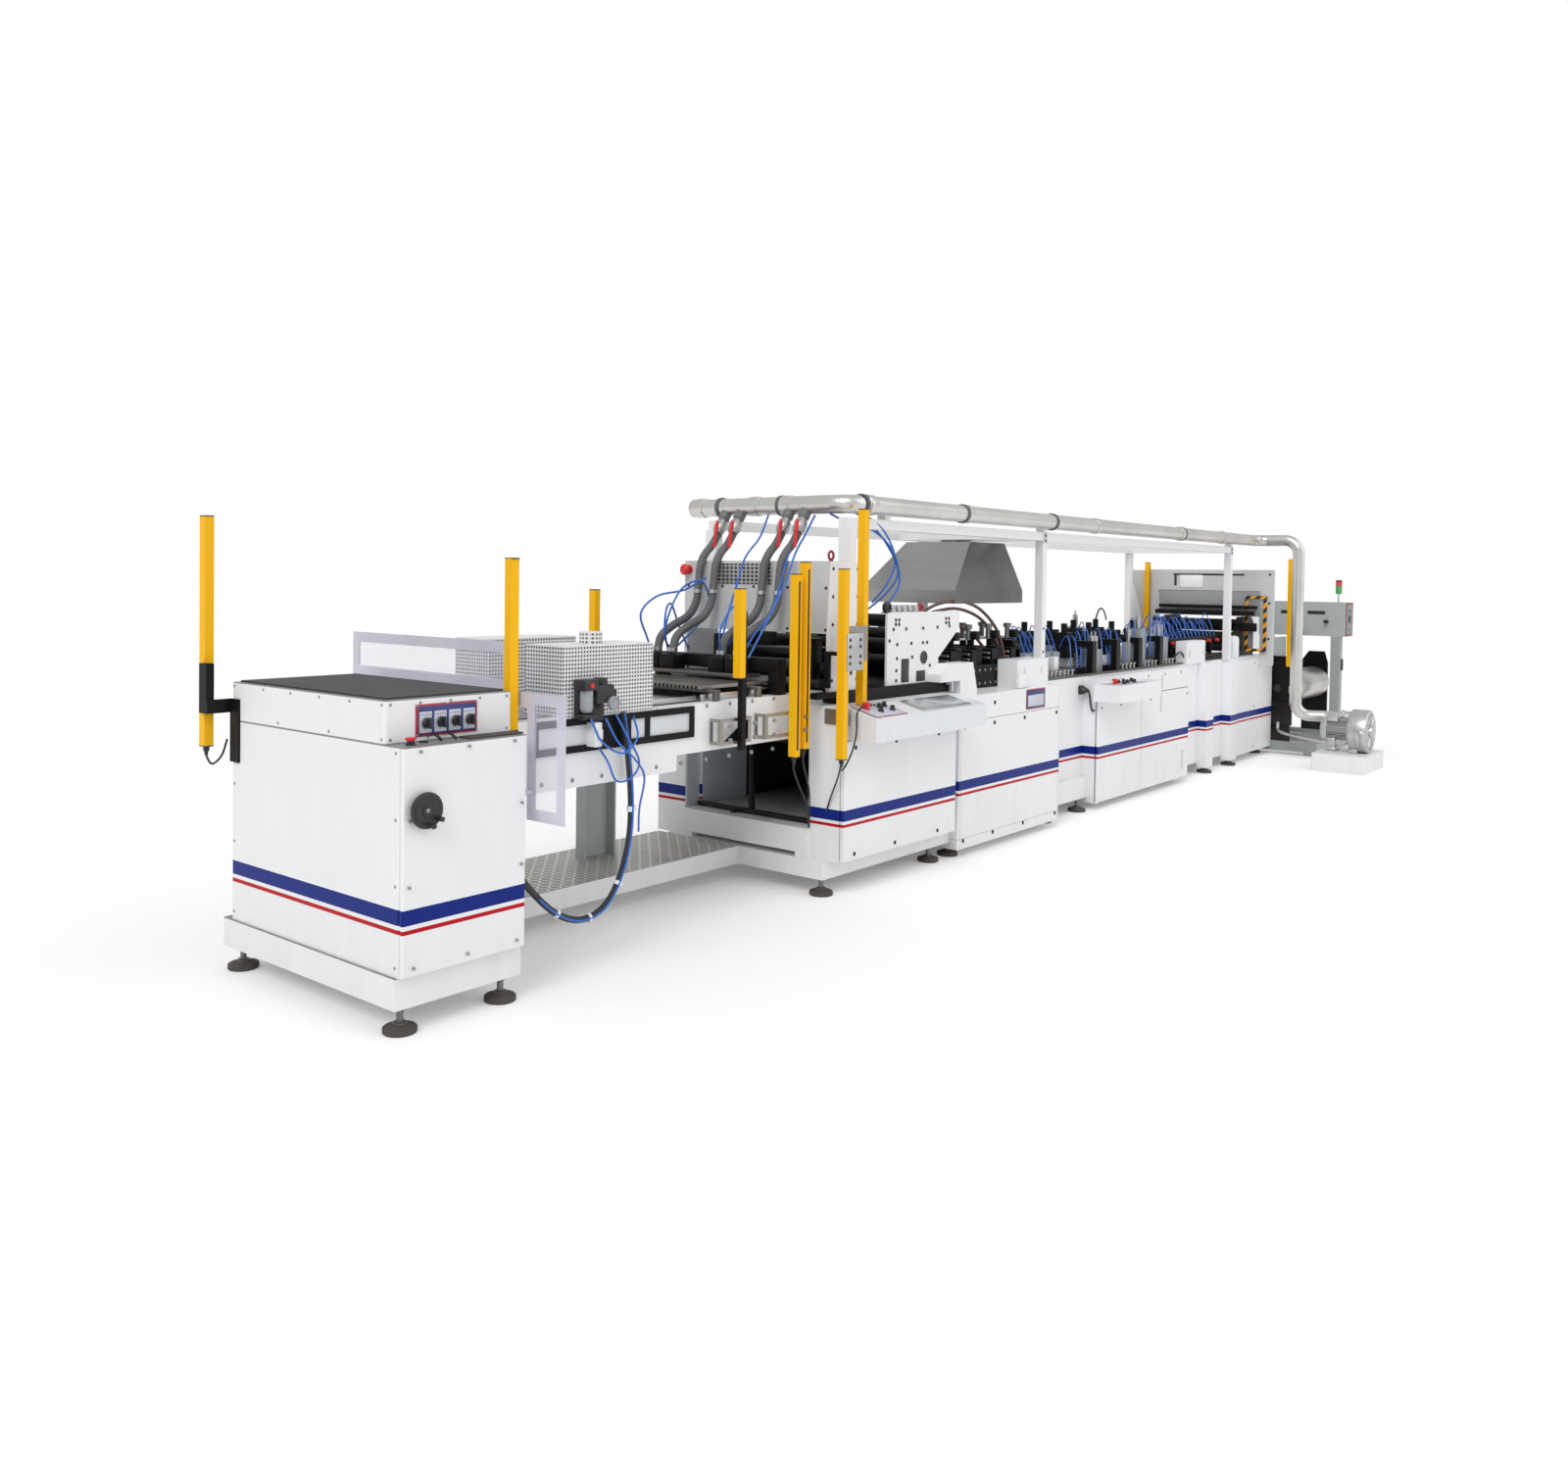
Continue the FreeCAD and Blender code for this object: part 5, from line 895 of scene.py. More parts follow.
lay_along(hoses, hose_lines)
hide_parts("vacuum_head")
head_blocks = [(2090, 171, 1040, 2150, 941, 1100)]
head_blocks += [(2090, y, 937.5, 2150, y + 60, 1041) for y in (171, 881)]
head_blocks += [(2001, y - 45, 1030, 2091, y + 45, 1096) for y in HOSE_LINES]
boxes("vacuum_beam", head_blocks, 4, black_coat)
boxes("vacuum_plate", [(1975, 290, 1012, 2110, 890, 1030)], 3, dark_steel)
slope_down = np.array([-0.54, 0.0, -0.8416])
collar = [(20.3, -9), (25, -9), (25, 9), (20.3, 9), (20.3, -9)]
collars = [turned(collar, [(2045, y, 1118)], UP, 20) for y in HOSE_LINES]
collars += [turned(collar, [(2330, y, 1394)], (0.16, 0, 0.987), 20) for y in HOSE_LINES]
skin("hose_collars", collars, steel)


def leaning(profile, along, sides=20):
    """A turned part on each hose's upper end, at a distance along its slope from the pipe's middle."""
    profile = np.asarray(profile, float)
    angle = np.linspace(0, 2 * np.pi, sides, endpoint=False)[None, :, None]
    across_hose = np.array([0.8416, 0.0, -0.54])
    ring = np.cos(angle) * across_hose + np.sin(angle) * np.array([0.0, 1.0, 0.0])
    shape = profile[:, 0, None, None] * ring + (along + profile[:, 1, None, None]) * slope_down
    return np.stack([shape + np.array([2560.0, y, 1820.0]) for y in HOSE_LINES])


valve_shape = [(0, -38), (24, -38), (26, -30), (31, -22), (31, 22), (26, 30), (24, 38), (0, 38)]
skin("valve_bodies", [leaning(valve_shape, 122)], steel)
skin("pipe_stubs", [leaning([(0, 34), (29, 34), (29, 74), (25, 78), (25, 90), (0, 90)], 0)], hose_finish)
lever_lines = [
    [
        (2480, y, 1740), (2458, y - 10, 1738), (2440, y - 22, 1716), (2420, y - 30, 1640),
        (2414, y - 32, 1612),
    ]
    for y in HOSE_LINES
]
skin("valve_levers", [tube(sweep_line(line, 5), 8.0, 8) for line in lever_lines], red_plastic)
air_runs = [
    [
        (2100, 860, 1100), (2050, 830, 1230), (2120, 800, 1400), (2260, 790, 1440), (2330, 800, 1320),
        (2280, 850, 1210), (2180, 880, 1120),
    ],
    [
        (2020, 880, 1090), (1960, 870, 1180), (1900, 850, 1290), (2000, 840, 1370), (2180, 830, 1400),
        (2300, 800, 1460),
    ],
    [
        (2040, 470, 1095), (2000, 440, 1220), (2080, 430, 1330), (2200, 450, 1290), (2140, 480, 1180),
        (2060, 500, 1100),
    ],
    [
        (2560, 400, 1768), (2480, 380, 1650), (2380, 350, 1570), (2300, 330, 1440), (2230, 330, 1300),
        (2120, 340, 1200), (2040, 350, 1098),
    ],
    [
        (2560, 330, 1768), (2470, 320, 1670), (2370, 300, 1580), (2290, 290, 1450), (2180, 300, 1280),
        (2060, 320, 1100),
    ],
    [
        (2600, 140, 1795), (2720, 130, 1765), (2860, 120, 1690), (2960, 125, 1560), (2940, 160, 1440),
        (2900, 220, 1345),
    ],
    [
        (2600, 150, 1790), (2740, 150, 1750), (2900, 140, 1640), (3010, 140, 1500), (2960, 180, 1390),
        (2880, 250, 1300),
    ],
    [
        (2290, 900, 1100), (2250, 930, 1220), (2160, 900, 1330), (2080, 860, 1290), (2100, 880, 1160),
        (2180, 900, 1100),
    ],
    [
        (2560, 620, 1772), (2470, 600, 1660), (2350, 590, 1560), (2250, 560, 1420), (2130, 520, 1250),
        (2070, 500, 1110),
    ],
    [
        (2560, 240, 1775), (2640, 200, 1740), (2800, 150, 1700), (2930, 118, 1600), (2990, 118, 1450),
        (2940, 150, 1340),
    ],
]
tubing("head_air_tubes", air_runs, 5.0, 8, blue_tube)

# Desks: enamelled button plates framed in dark red, with a stop button and pointer knobs, and on
# the sloping desk a steel tray under a clear lid.
DESK_EDGE_Y, DESK_EDGE_Z = -178, 837.5
desk_plate = blocks([(2395, -158, 0, 2640, -22, 3), (2790, -160, 0, 3240, -24, 5)], 1.2)
tilt = 44.0 / 173.0  # the desk's rise over its depth
desk_plate[..., 2] += DESK_EDGE_Z + tilt * (desk_plate[..., 1] - DESK_EDGE_Y)
side_plate = blocks([(5215, -100, 816, 5600, 30, 818.5)], 1.0)
skin("desk_plates", [desk_plate[:1], side_plate], plate_pale)
rims = blocks([(2388, -163, 0, 2647, -17, 1.6)], 0.8)
rims[..., 2] += DESK_EDGE_Z + tilt * (rims[..., 1] - DESK_EDGE_Y)
skin("desk_plate_rims", [rims, blocks([(5208, -106, 815.8, 5607, 36, 817.2)], 0.6)], plate_frame)
tray_steel = bare_metal("tray_steel", (0.66, 0.67, 0.68), 0.22, (4.0, 1.0, 1.0), 5.0)
skin("desk_tray", [desk_plate[1:]], tray_steel)
lid = blocks([(2805, -148, 0, 3225, -36, 1.5)], 0.7)
lid[..., 2] += DESK_EDGE_Z + 5.3 + tilt * (lid[..., 1] - DESK_EDGE_Y)
skin("desk_tray_lid", [lid], moulded("tray_lid", (0.34, 0.36, 0.37), 0.1))


def on_desk(x, y):
    """A point on the sloping desk's button plate."""
    return (x, y, DESK_EDGE_Z + 2.5 + tilt * (y - DESK_EDGE_Y))


stop_profile = [(0, 0), (16, 0), (16, 10), (11, 12), (11, 18), (20, 20), (21, 27), (15, 33), (0, 35)]
stops = [on_desk(2440, -70), (5260, -40, 818)]
lathe("desk_stops", stop_profile, stops, UP, 24, red_plastic)
knob_profile = [(0, 0), (15, 0), (15, 5), (11, 7), (10, 22), (0, 24)]
knobs = [on_desk(2500, -110), on_desk(2545, -70), on_desk(2595, -110), on_desk(2600, -60)]
side_knobs = [(5310, -78), (5360, -20), (5405, -60), (5450, -14), (5490, -70), (5560, -20)]
knobs += [(x, y, 818) for x, y in side_knobs]
lathe("desk_knobs", knob_profile, knobs, UP, 20, black_plastic)
lamp_dots = [on_desk(x, -40) for x in (2490, 2520, 2550)] + [(x, -36, 818) for x in (5330, 5425, 5530)]
lathe("desk_lamps", [(0, 0), (7, 0), (7, 4), (4, 7), (0, 8)], lamp_dots, UP, 16, black_plastic)

# Leads of the light curtains: thin black cables from a gland under each post into the frame. A
# bent steel angle and a black arm hold the tall pair to the console.
curtain_leads = [
    [(-65, 1120, 826), (-65, 1118, 790), (-50, 1105, 760), (-22, 1090, 790), (-9, 1075, 850)],
    [(2262, -60, 655), (2262, -55, 620), (2290, -20, 560), (2310, 30, 470), (2322, 62, 400)],
    [
        (2480, -12, 879), (2468, -30, 878), (2410, -58, 874), (2352, -78, 850), (2336, -88, 770),
        (2318, -80, 690), (2290, -66, 628), (2268, -58, 604),
    ],
    [(2180, 92, 696), (2182, 95, 640), (2230, 110, 560), (2280, 130, 480), (2310, 150, 320)],
    [(2112, 92, 666), (2115, 95, 610), (2180, 110, 520), (2260, 130, 430), (2306, 150, 312)],
]
glands = [line[0] for line in curtain_leads]
gland_profile = [(0, 2), (9, 2), (11, -6), (11, -16), (7, -22), (6, -34), (0, -36)]
tubing("curtain_leads", curtain_leads, 4.0, 8, black_sheath)
lathe("curtain_glands", gland_profile, glands, UP, 14, black_plastic)
bracket = [(2262, -84, 1052, 2390, -80, 1220), (2386, -84, 1052, 2390, -30, 1220)]
bolts = [(x, -84, z) for x in (2285, 2365) for z in (1085, 1115, 1160, 1190)]
boxes("curtain_angle", bracket, 2, steel)
screws("curtain_angle_screws", bolts, FRONT, 6.0, finish=black_plastic)
stay_bolts = [(x, 70, z) for x in (1650, 1812, 1945, 2168) for z in (785, 845)]
screws("stay_screws", stay_bolts, FRONT, 6.5)
arm = [(2334, 68, 960, 2352, 100, 1130), (2334, -4, 1112, 2352, 72, 1130), (2334, -10, 872, 2352, 6, 1130)]
boxes("head_arm", arm, 3, black_coat)

# Screws of the covers, in rows along each fold, and the sheet handles of the sealing cabinet's
# right door.
drive_screws = [(x, 12.6, z) for x in (3480, 3800, 4150, 4550) for z in (690, 90)]
drive_screws += [(x, 12.6, 800) for x in (3480, 3800)]
seal_screws = [(x, 62.6, 820) for x in (6050, 6350, 6650)]
seal_screws += [(x, 62.4, 655) for x in (5300, 5600, 6100, 6780)]
infeed_screws = [(x, 113.6, z) for x in (8010, 8440, 8875) for z in (800, 440, 100)]
door_screws = [(x, -28.4, z) for x in (2420, 2760, 3150) for z in (690, 200)]
screws("drive_cover_screws", drive_screws, FRONT, 8.0, finish=black_plastic)
screws("seal_cover_screws", seal_screws, FRONT, 6.5)
screws("infeed_cover_screws", infeed_screws, FRONT, 6.5)
screws("console_door_screws", door_screws, FRONT, 7.0, "console_leaf", black_plastic)
handle = blocks([(6270, 60.5, 560, 6300, 63.4, 690), (6690, 60.5, 110, 6720, 63.4, 250)], 1.4)
skin("seal_door_handles", [handle], plate_coat, body="right_leaf")
boxes("seal_panel_plate", [(6280, 60.6, 722, 6312, 63.6, 812)], 1.4, plate_coat)

# Data plate of the press: an enamelled sheet framed in dark red, with blank blue and grey
# fields, riveted to the drive cover.
boxes("data_plate_rim", [(4164, 10.6, 732, 4396, 12.9, 846)], 0.6, plate_frame)
boxes("data_plate", [(4172, 9.8, 739, 4388, 11.2, 839)], 0.4, plate_blue)
boxes("data_plate_fields", [(4182, 9.2, 747, 4378, 10.2, 812)], 0.3, plate_pale)

# Plug and lead beside the small desk: a black moulded connector in its socket, and a cable that
# loops down and into the cabinet.
plug_profile = [(0, 0), (26, 0), (28, 10), (24, 30), (17, 44), (10, 58), (0, 60)]
plug_block = blocks([(5180, 150, 742, 5230, 172, 800)], 5)
skin("plug", [turned(plug_profile, [(5205, 171, 770)], FRONT, 20), plug_block], black_plastic)
plug_lead = [
    (5205, 112, 770), (5200, 100, 735), (5205, 95, 680), (5235, 95, 640), (5285, 92, 648), (5300, 84, 668),
]
tubing("plug_lead", [plug_lead], 7.0, 10, black_sheath)

# The sealing section: black press units under a grey fume hood. Guide rods, hydraulic hoses and
# cross covers fill the space between the press beams.
for node in ("press_units", "punch_units"):
    dress(node, black_coat)
dress("table_boxes", white_coat)
hood_steel = bare_metal("hood_steel", (0.44, 0.44, 0.43), 0.34, (1.0, 1.0, 6.0), 3.0, 0.02)
# The hood's front side is a darker copy of its steel with the grain turned: painted shade.
hood_side = bare_metal("hood_side", (0.20, 0.202, 0.20), 0.36, (6.0, 1.0, 1.0), 3.0, 0.02)
dress("fume_hood", hood_steel, (hood_side, lambda middle, outward: outward[:, 1] < -0.5))
press_blocks = [
    (3640, 205, 855, 4470, 214, 985), (3640, 898, 855, 4470, 907, 985), (3640, 232, 855, 4480, 880, 905),
    (4420, 240, 905, 4520, 860, 1060), (4440, 250, 1060, 4500, 320, 1110),
]
PRESSES = [3650 + 230 * step for step in range(4)]
for x in PRESSES:
    press_blocks += [(x + 88, y, 905, x + 184, y + 80, 1066) for y in (240, 790)]
    press_blocks += [
        (x + 100, 320, 930, x + 172, 790, 1000), (x + 96, 232, 1066, x + 176, 300, 1084),
        (x + 52, 208, 1128, x + 100, 250, 1176),
    ]
boxes("press_covers", press_blocks, 6, black_coat)
heater_plates = [(x, 226, z, x + 82, 884, z + 12) for z in (1012, 1040) for x in PRESSES]
boxes("heater_plates", heater_plates, 2, steel)
press_caps = [(x, 204.5, z) for x in range(3660, 4460, 62) for z in (880, 955)]
screws("press_screws", press_caps, FRONT, 6.0)
bright_rails = [(3660, y, 1121, 4440, y + 30, 1135) for y in (300, 560, 800)]
boxes("press_rails", bright_rails, 3, steel)
column = [(0, 0), (15, 0), (15, 60), (24, 62), (24, 84), (12, 86), (0, 86)]
columns = [(x + 48, y, 1128) for x in PRESSES for y in (260, 430, 690, 850)]
lathe("press_columns", column, columns, UP, 16, dark_steel)
brown_hose = rubber("brown_hose", (0.085, 0.035, 0.026), 0.35, "black_rubber")
oil_runs = [
    [
        (3560, 330, 1290), (3700, 320, 1330), (3900, 310, 1345), (4120, 300, 1300), (4290, 280, 1180),
        (4330, 250, 1030), (4320, 222, 868),
    ],
    [
        (3560, 350, 1260), (3720, 340, 1290), (3930, 330, 1300), (4130, 310, 1250), (4270, 290, 1150),
        (4300, 250, 1010), (4285, 222, 868),
    ],
    [
        (3600, 380, 1240), (3780, 370, 1250), (3960, 360, 1210), (4100, 330, 1150), (4180, 280, 1050),
        (4230, 240, 960), (4240, 225, 880),
    ],
]
tubing("oil_hoses", oil_runs, 9.0, 12, brown_hose)
vents = [(3338, 11.2, 885, 3352, 13.4, 935)] + [(x, 60.8, 920, x + 14, 63.4, 965) for x in (4230, 4440)]
boxes("housing_vents", vents, 1, plate_coat)
boxes("small_box", [(4120, 30, 855, 4240, 62, 935)], 5, white_coat)

# The feed table: a worn dark plate with clamp bars, punches and loops of blue air tube from each
# unit to a black manifold.
table_steel = bare_metal("table_steel", (0.20, 0.185, 0.165), 0.45, (0.4, 6.0, 6.0), 12.0)
boxes("table_plate", [(4640, 195, 853.2, 7960, 917, 858)], 1.5, table_steel)
boxes("table_edge", [(4640, 172, 853.2, 6990, 192, 868)], 3, table_steel)
clamp = [(0, 0), (13, 0), (13, 14), (8, 16), (8, 34), (15, 36), (15, 44), (0, 46)]
clamp_x = np.concatenate([np.arange(4700, 5240, 60), np.arange(5900, 6940, 65)])
clamp_spots = [(x, y, 858) for x in clamp_x for y in (215, 262)]
lathe("table_clamps", clamp, clamp_spots, UP, 14, steel)
guide_bars = [(4660, y, 872, 7940, y + 18, 890) for y in (330, 480, 640, 790)]
boxes("table_guide_bars", guide_bars, 3, steel)
grey_units = [(x, 300, 890, x + 90, 400, 1010) for x in range(4700, 5091, 130)]
grey_units += [
    (5560, 240, 858, 5700, 330, 1010), (5620, 560, 890, 5760, 700, 1060),
    (6330, 235, 858, 6420, 330, 1130), (6330, 700, 858, 6420, 830, 1130),
    (6760, 250, 858, 6880, 360, 1060), (6150, 250, 858, 6290, 300, 1040),
]
boxes("table_units", grey_units, 6, coat("unit_grey", (0.30, 0.33, 0.35), 0.36))
pale_units = [
    (5000, 250, 900, 5060, 300, 985), (5480, 380, 890, 5540, 450, 990), (5830, 290, 880, 5880, 350, 960),
    (6480, 380, 890, 6530, 460, 1000),
]
boxes("table_sensors", pale_units, 5, white_coat)
cylinder = [(0, 0), (17, 0), (19, 4), (19, 86), (10, 90), (6, 92), (6, 118), (0, 118)]
cylinders = [
    (5600, 280, 1010), (5660, 280, 1010), (6375, 280, 1130), (6375, 760, 1130), (6800, 300, 1060),
    (6850, 300, 1060), (6200, 275, 1040),
]
lathe("table_cylinders", cylinder, cylinders, UP, 18, steel)
manifold = [(6960, 300, 985, 8180, 340, 1035), (7000, 560, 985, 8180, 600, 1035)]
manifold += [(x, 300, 858, x + 30, 335, 990) for x in range(7080, 7921, 210)]
manifold += [(x, 345, 900, x + 70, 560, 960) for x in range(7080, 7921, 210)]
boxes("manifold", manifold, 5, black_coat)
valve_dots = [(x, 296, 1000) for x in range(7060, 8011, 190)]
lathe("manifold_valves", [(0, 0), (13, 0), (13, 26), (9, 30), (0, 30)], valve_dots, FRONT, 14, red_plastic)


def arch(start, end, rise, lean=0.0):
    """A loop of tube: both ends stand upright and the middle rises as a half sine."""
    share = np.linspace(0, 1, 25)[:, None]
    line = np.asarray(start, float) * (1 - share) + np.asarray(end, float) * share
    lift = np.sin(np.pi * share) ** 0.75
    return line + lift * np.array([[0.0, lean, rise]])


seed = np.random.default_rng(7)
loops = []
for x in np.arange(4700, 5230, 62):
    loops.append(arch((x, 330, 985), (x + 150, 500, 960), 150 + 60 * seed.random(), 40))
for x in np.arange(5260, 6100, 75):
    loops.append(
        arch((x, 240 + 50 * seed.random(), 900), (x + 150, 420, 1000), 110 + 130 * seed.random(), -20)
    )
for x in np.arange(6200, 6900, 70):
    loops.append(arch((x, 260, 930), (x + 130, 380, 1080), 130 + 90 * seed.random(), -25))
for x in np.arange(6990, 8060, 82):
    loops.append(arch((x, 320, 1033), (x + 190, 470, 955), 150 + 80 * seed.random(), 50))
skin("table_air_tubes", [tube(line, 3.8, 7) for line in loops], blue_tube)
lead_loops = [
    arch((7010, 180, 900), (6930, 240, 862), 60, -10), arch((6560, 600, 1180), (6700, 760, 1100), 120),
]
skin("table_leads", [tube(line, 6.0, 8) for line in lead_loops], black_sheath)
box_face = [(7030, 147, 905, 7060, 150.4, 960), (7350, 147, 905, 7364, 150.4, 950)]
boxes("box_windows", box_face, 1, plate_coat)

# Over the line: white beams on posts, and a polished suction pipe whose runs are joined by
# clamped sleeves. Saddles carry it on the beams.
dress("overhead_frame", white_coat)


def bend_run(corners, radius, steps=10):
    """A pipe's line: straight runs joined by arcs that touch both."""
    corners = np.asarray(corners, float)
    run = np.diff(corners, axis=0)
    run /= np.linalg.norm(run, axis=1)[:, None]
    come, leave = run[:-1], run[1:]
    cosine = (come * leave).sum(axis=1)
    swing = np.arccos(cosine)
    inward = leave - come * cosine[:, None]
    inward /= np.linalg.norm(inward, axis=1)[:, None]
    first = corners[1:-1] - come * (radius * np.tan(swing / 2))[:, None]
    angle = np.linspace(0, 1, steps)[None, :, None] * swing[:, None, None]
    arcs = first[:, None] + radius * (np.sin(angle) * come[:, None] + (1 - np.cos(angle)) * inward[:, None])
    return np.vstack([corners[:1], arcs.reshape(-1, 3), corners[-1:]])


def flow(line, radius, sides=32):
    """A round pipe along a line that turns in more than one plane: each ring's frame is the last one's,
    turned with the run."""
    line = np.asarray(line, float)
    run = np.gradient(line, axis=0)
    run /= np.linalg.norm(run, axis=1)[:, None]
    side = np.cross(run[0], [0.0, 0.0, 1.0])
    frames = []
    for ahead_now in run:
        side = side - ahead_now * (side @ ahead_now)
        side = side / np.linalg.norm(side)
        frames.append(side)
    frames = np.array(frames)
    other = np.cross(run, frames)
    angle = np.linspace(0, 2 * np.pi, sides, endpoint=False)[None, :, None]
    rings = line[:, None] + radius * (np.cos(angle) * frames[:, None] + np.sin(angle) * other[:, None])
    ends = [np.repeat(line[[end]][:, None], sides, axis=1) for end in (0, -1)]
    return np.concatenate([ends[0], rings, ends[1]])


pipe_steel = bare_metal("pipe_steel", (0.80, 0.785, 0.75), 0.3, (1.0, 1.0, 1.0), 3.0, 0.004)
PIPE_ROUTE = [
    (2560, 1118, 1820), (2560, 115, 1820), (8390, 115, 1820), (8390, -230, 1820), (8390, -230, 395),
    (8480, -426, 395), (8480, -565, 395),
]
pipe = skin("suction_pipe_run", [flow(bend_run(PIPE_ROUTE, 110.0), 45.0)], pipe_steel)
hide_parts("suction_pipe")
sleeve = [(44, -30), (49, -30), (50, -24), (50, 24), (49, 30), (44, 30), (44, -30)]
along_x = [(x, 115, 1820) for x in (2700, 3623, 5252, 6693, 7581)]
along_y = [(2560, y, 1820) for y in (1060, 700, 496)]
sleeves = [
    turned(sleeve, along_x, RIGHT, 32), turned(sleeve, along_y, BACK, 32),
    turned(sleeve, [(8390, -230, 600)], UP, 32),
]
skin("pipe_sleeves", sleeves, pipe_steel)
band = [(44.5, -9), (51.5, -9), (51.5, 9), (44.5, 9), (44.5, -9)]
bands = [
    turned(band, [(x, 115, 1820) for x in (2640, 3590, 4647, 6725)], RIGHT, 32),
    turned(band, [(2560, y, 1820) for y in (924, 530)], BACK, 32),
]
skin("pipe_bands", bands, moulded("band_grey", (0.10, 0.105, 0.11), 0.5))
end_cap = [(0, 0), (44, 0), (47, -4), (47, -26), (44.6, -28), (0, -28)]
lathe("pipe_end_cap", end_cap, [(2560, 1118, 1820)], BACK, 32, pipe_steel)
saddles = [(x, 120, 1755.5, x + 50, 170, 1800) for x in (2860, 4553, 7810)]
boxes("pipe_saddles", saddles, 3, white_coat)
joint_plates = [(x, 117.2, 1690, x + 50, 120.4, 1752) for x in (4553, 7810)]
boxes("post_plates", joint_plates, 1, plate_coat)
post_dots = [(x + 25, 116.6, z) for x in (4553, 7810) for z in (1705, 1735)]
post_dots += [(4578, 119.4, z) for z in (1000, 1040, 1180)]
screws("post_screws", post_dots, FRONT, 6.0, finish=black_plastic)
duct_ring = [(90.5, -8), (95, -8), (95, 8), (90.5, 8), (90.5, -8)]
lathe("duct_rings", duct_ring, [(4388.5, 620, z) for z in (1712, 1770)], UP, 32, hood_steel)

# The infeed: the guide portal with its rollers, and a clear hinged flap whose rim is banded in
# yellow and black.
dress("web_portal", plate_coat, (white_coat, lambda middle, outward: middle[:, 0] < 8300))
dress("web_guide", black_coat)
hazard = Finish("hazard_sheet", (0.8, 0.5, 0.02), 0.3)
_, (_, hazard_y, hazard_z) = hazard.place()
slope = ((hazard_y + hazard_z) * 12.0).fract() > 0.5
rim = ((hazard_z > 1.335) + (hazard_z < 0.915) + (hazard_y > 0.045) + (hazard_y < -0.08)) > 0.5
hazard_tone = hazard.blend(slope, (0.90, 0.36, 0.006, 1), (0.016, 0.016, 0.016, 1))
hazard.paint(rim, (0.42, 0.44, 0.46, 1), hazard_tone)
hazard.set("Alpha", 0.22 + 0.78 * rim)
dress("hazard_flap", hazard)
backing = [(8550, 114, 1184, 8556, 986, 1400)]
boxes("portal_backing", backing, 1.5, coat("backing_grey", (0.36, 0.37, 0.38), 0.3))
view_pale = moulded("view_pale", (0.93, 0.93, 0.94), 0.2, "white_paint")
boxes("portal_view", [(8541, 600, 1424, 8545.3, 800, 1545)], 2, view_pale)
portal_slots = [(8541, 250, 1530, 8545.3, 860, 1545), (8541, 830, 1440, 8545.3, 850, 1530)]
boxes("portal_slots", portal_slots, 2, black_plastic)
web_bars = [
    (8190, 300, 1096, 8560, 330, 1120), (8420, 130, 1195, 8470, 970, 1232),
    (8300, 180, 1130, 8350, 940, 1165), (8500, 130, 1250, 8540, 970, 1276),
    (8480, 126, 1060, 8520, 980, 1130),
]
boxes("web_bars", web_bars, 6, black_coat)
canister = [(0, 0), (52, 0), (58, 8), (58, 168), (54, 184), (40, 194), (0, 196)]
canister_white = moulded("canister_white", (0.74, 0.76, 0.80), 0.3, "white_paint")
lathe("web_canister", canister, [(8130, 205, 838)], UP, 28, canister_white)
corner_dots = [(8545, y, z) for y in (40, 1070) for z in (1540, 1300, 1000)]
screws("portal_corner_screws", corner_dots, LEFT, 7.0, finish=black_plastic)

# The unwinder: grey coated stands and black arms that carry the roll of film, with the control
# box on its mast and the signal lamp.
grey_mach = coat("machine_grey", (0.36, 0.385, 0.385), 0.38, slot="grey_paint")
dress("unwind_stand", grey_mach)
dress("unwind_arms", black_coat)
dress("cross_box", coat("box_grey", (0.44, 0.465, 0.47), 0.36))
box_slots = [(9597, y, 1196, 9600.4, y + 150, 1226) for y in (-120, 110)]
boxes("cross_box_slots", box_slots, 4, black_plastic)
end_grey = coat("end_grey", (0.27, 0.285, 0.30), 0.36, slot="grey_paint")
boxes("cross_box_end", [(9628, -294, 1024, 9812, -290.6, 1284)], 1, end_grey)
boxes("cross_box_rim", [(9604, -292.6, 1008, 9836, -290.4, 1300)], 0.8, dark_red)
end_parts = [(9690, -298, 1120, 9750, -293, 1190), (9706, -298, 1215, 9734, -293, 1240)]
boxes("cross_box_controls", end_parts, 2, black_plastic)
screws("cross_box_knob", [(9720, -293, 1062)], FRONT, 8.0, finish=black_plastic)
stub_bars = [(9540, -150, 1120, 9600.5, -122, 1146), (9540, 60, 1010, 9600.5, 96, 1046)]
boxes("cross_box_bars", stub_bars, 5, black_coat)
panel_grey = coat("panel_grey", (0.40, 0.43, 0.42), 0.36, slot="grey_paint")
boxes("unwind_panel", [(8962, 205, 520, 9590, 240, 985)], 6, panel_grey)
panel_feet = [(x, 205, 108, x + 60, 240, 522) for x in (9000, 9500)]
boxes("unwind_panel_feet", panel_feet, 4, grey_mach)
film = bare_metal("film_roll", (0.70, 0.68, 0.64), 0.3, (12.0, 1.0, 1.0), 3.0, 0.004, "film_roll")
roll_profile = [
    (0, 0), (20, 0), (20, 28), (48, 30), (50, 34), (50, 40), (138, 42), (140, 46), (140, 1052),
    (138, 1056), (50, 1058), (48, 1068), (20, 1070), (20, 1099), (0, 1099),
]
roll = skin(
    "film_roll", [turned(roll_profile, [(8961, 83, 560)], RIGHT, 64)], film, body="web_roll", sharp=30,
)
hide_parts("unwind_roll")
hub = [(0, 0), (34, 0), (34, 6), (24, 9), (22, 3), (10, 3), (10, 10), (0, 10)]
lathe("unwind_hub", hub, [(8940, 83, 560)], LEFT, 28, black_plastic)
motor_screws = [(8914.6, y, z) for y in (-30, 115) for z in (275, 425)]
screws("unwind_motor_screws", motor_screws, LEFT, 6.0, finish=black_plastic)
boxes("mast_switch", [(9640, -262, 700, 9676, -248, 800)], 4, black_plastic)
lamp_green = moulded("lamp_green", (0.02, 0.36, 0.10), 0.2)
lamp_red = moulded("lamp_red", (0.55, 0.03, 0.05), 0.2)
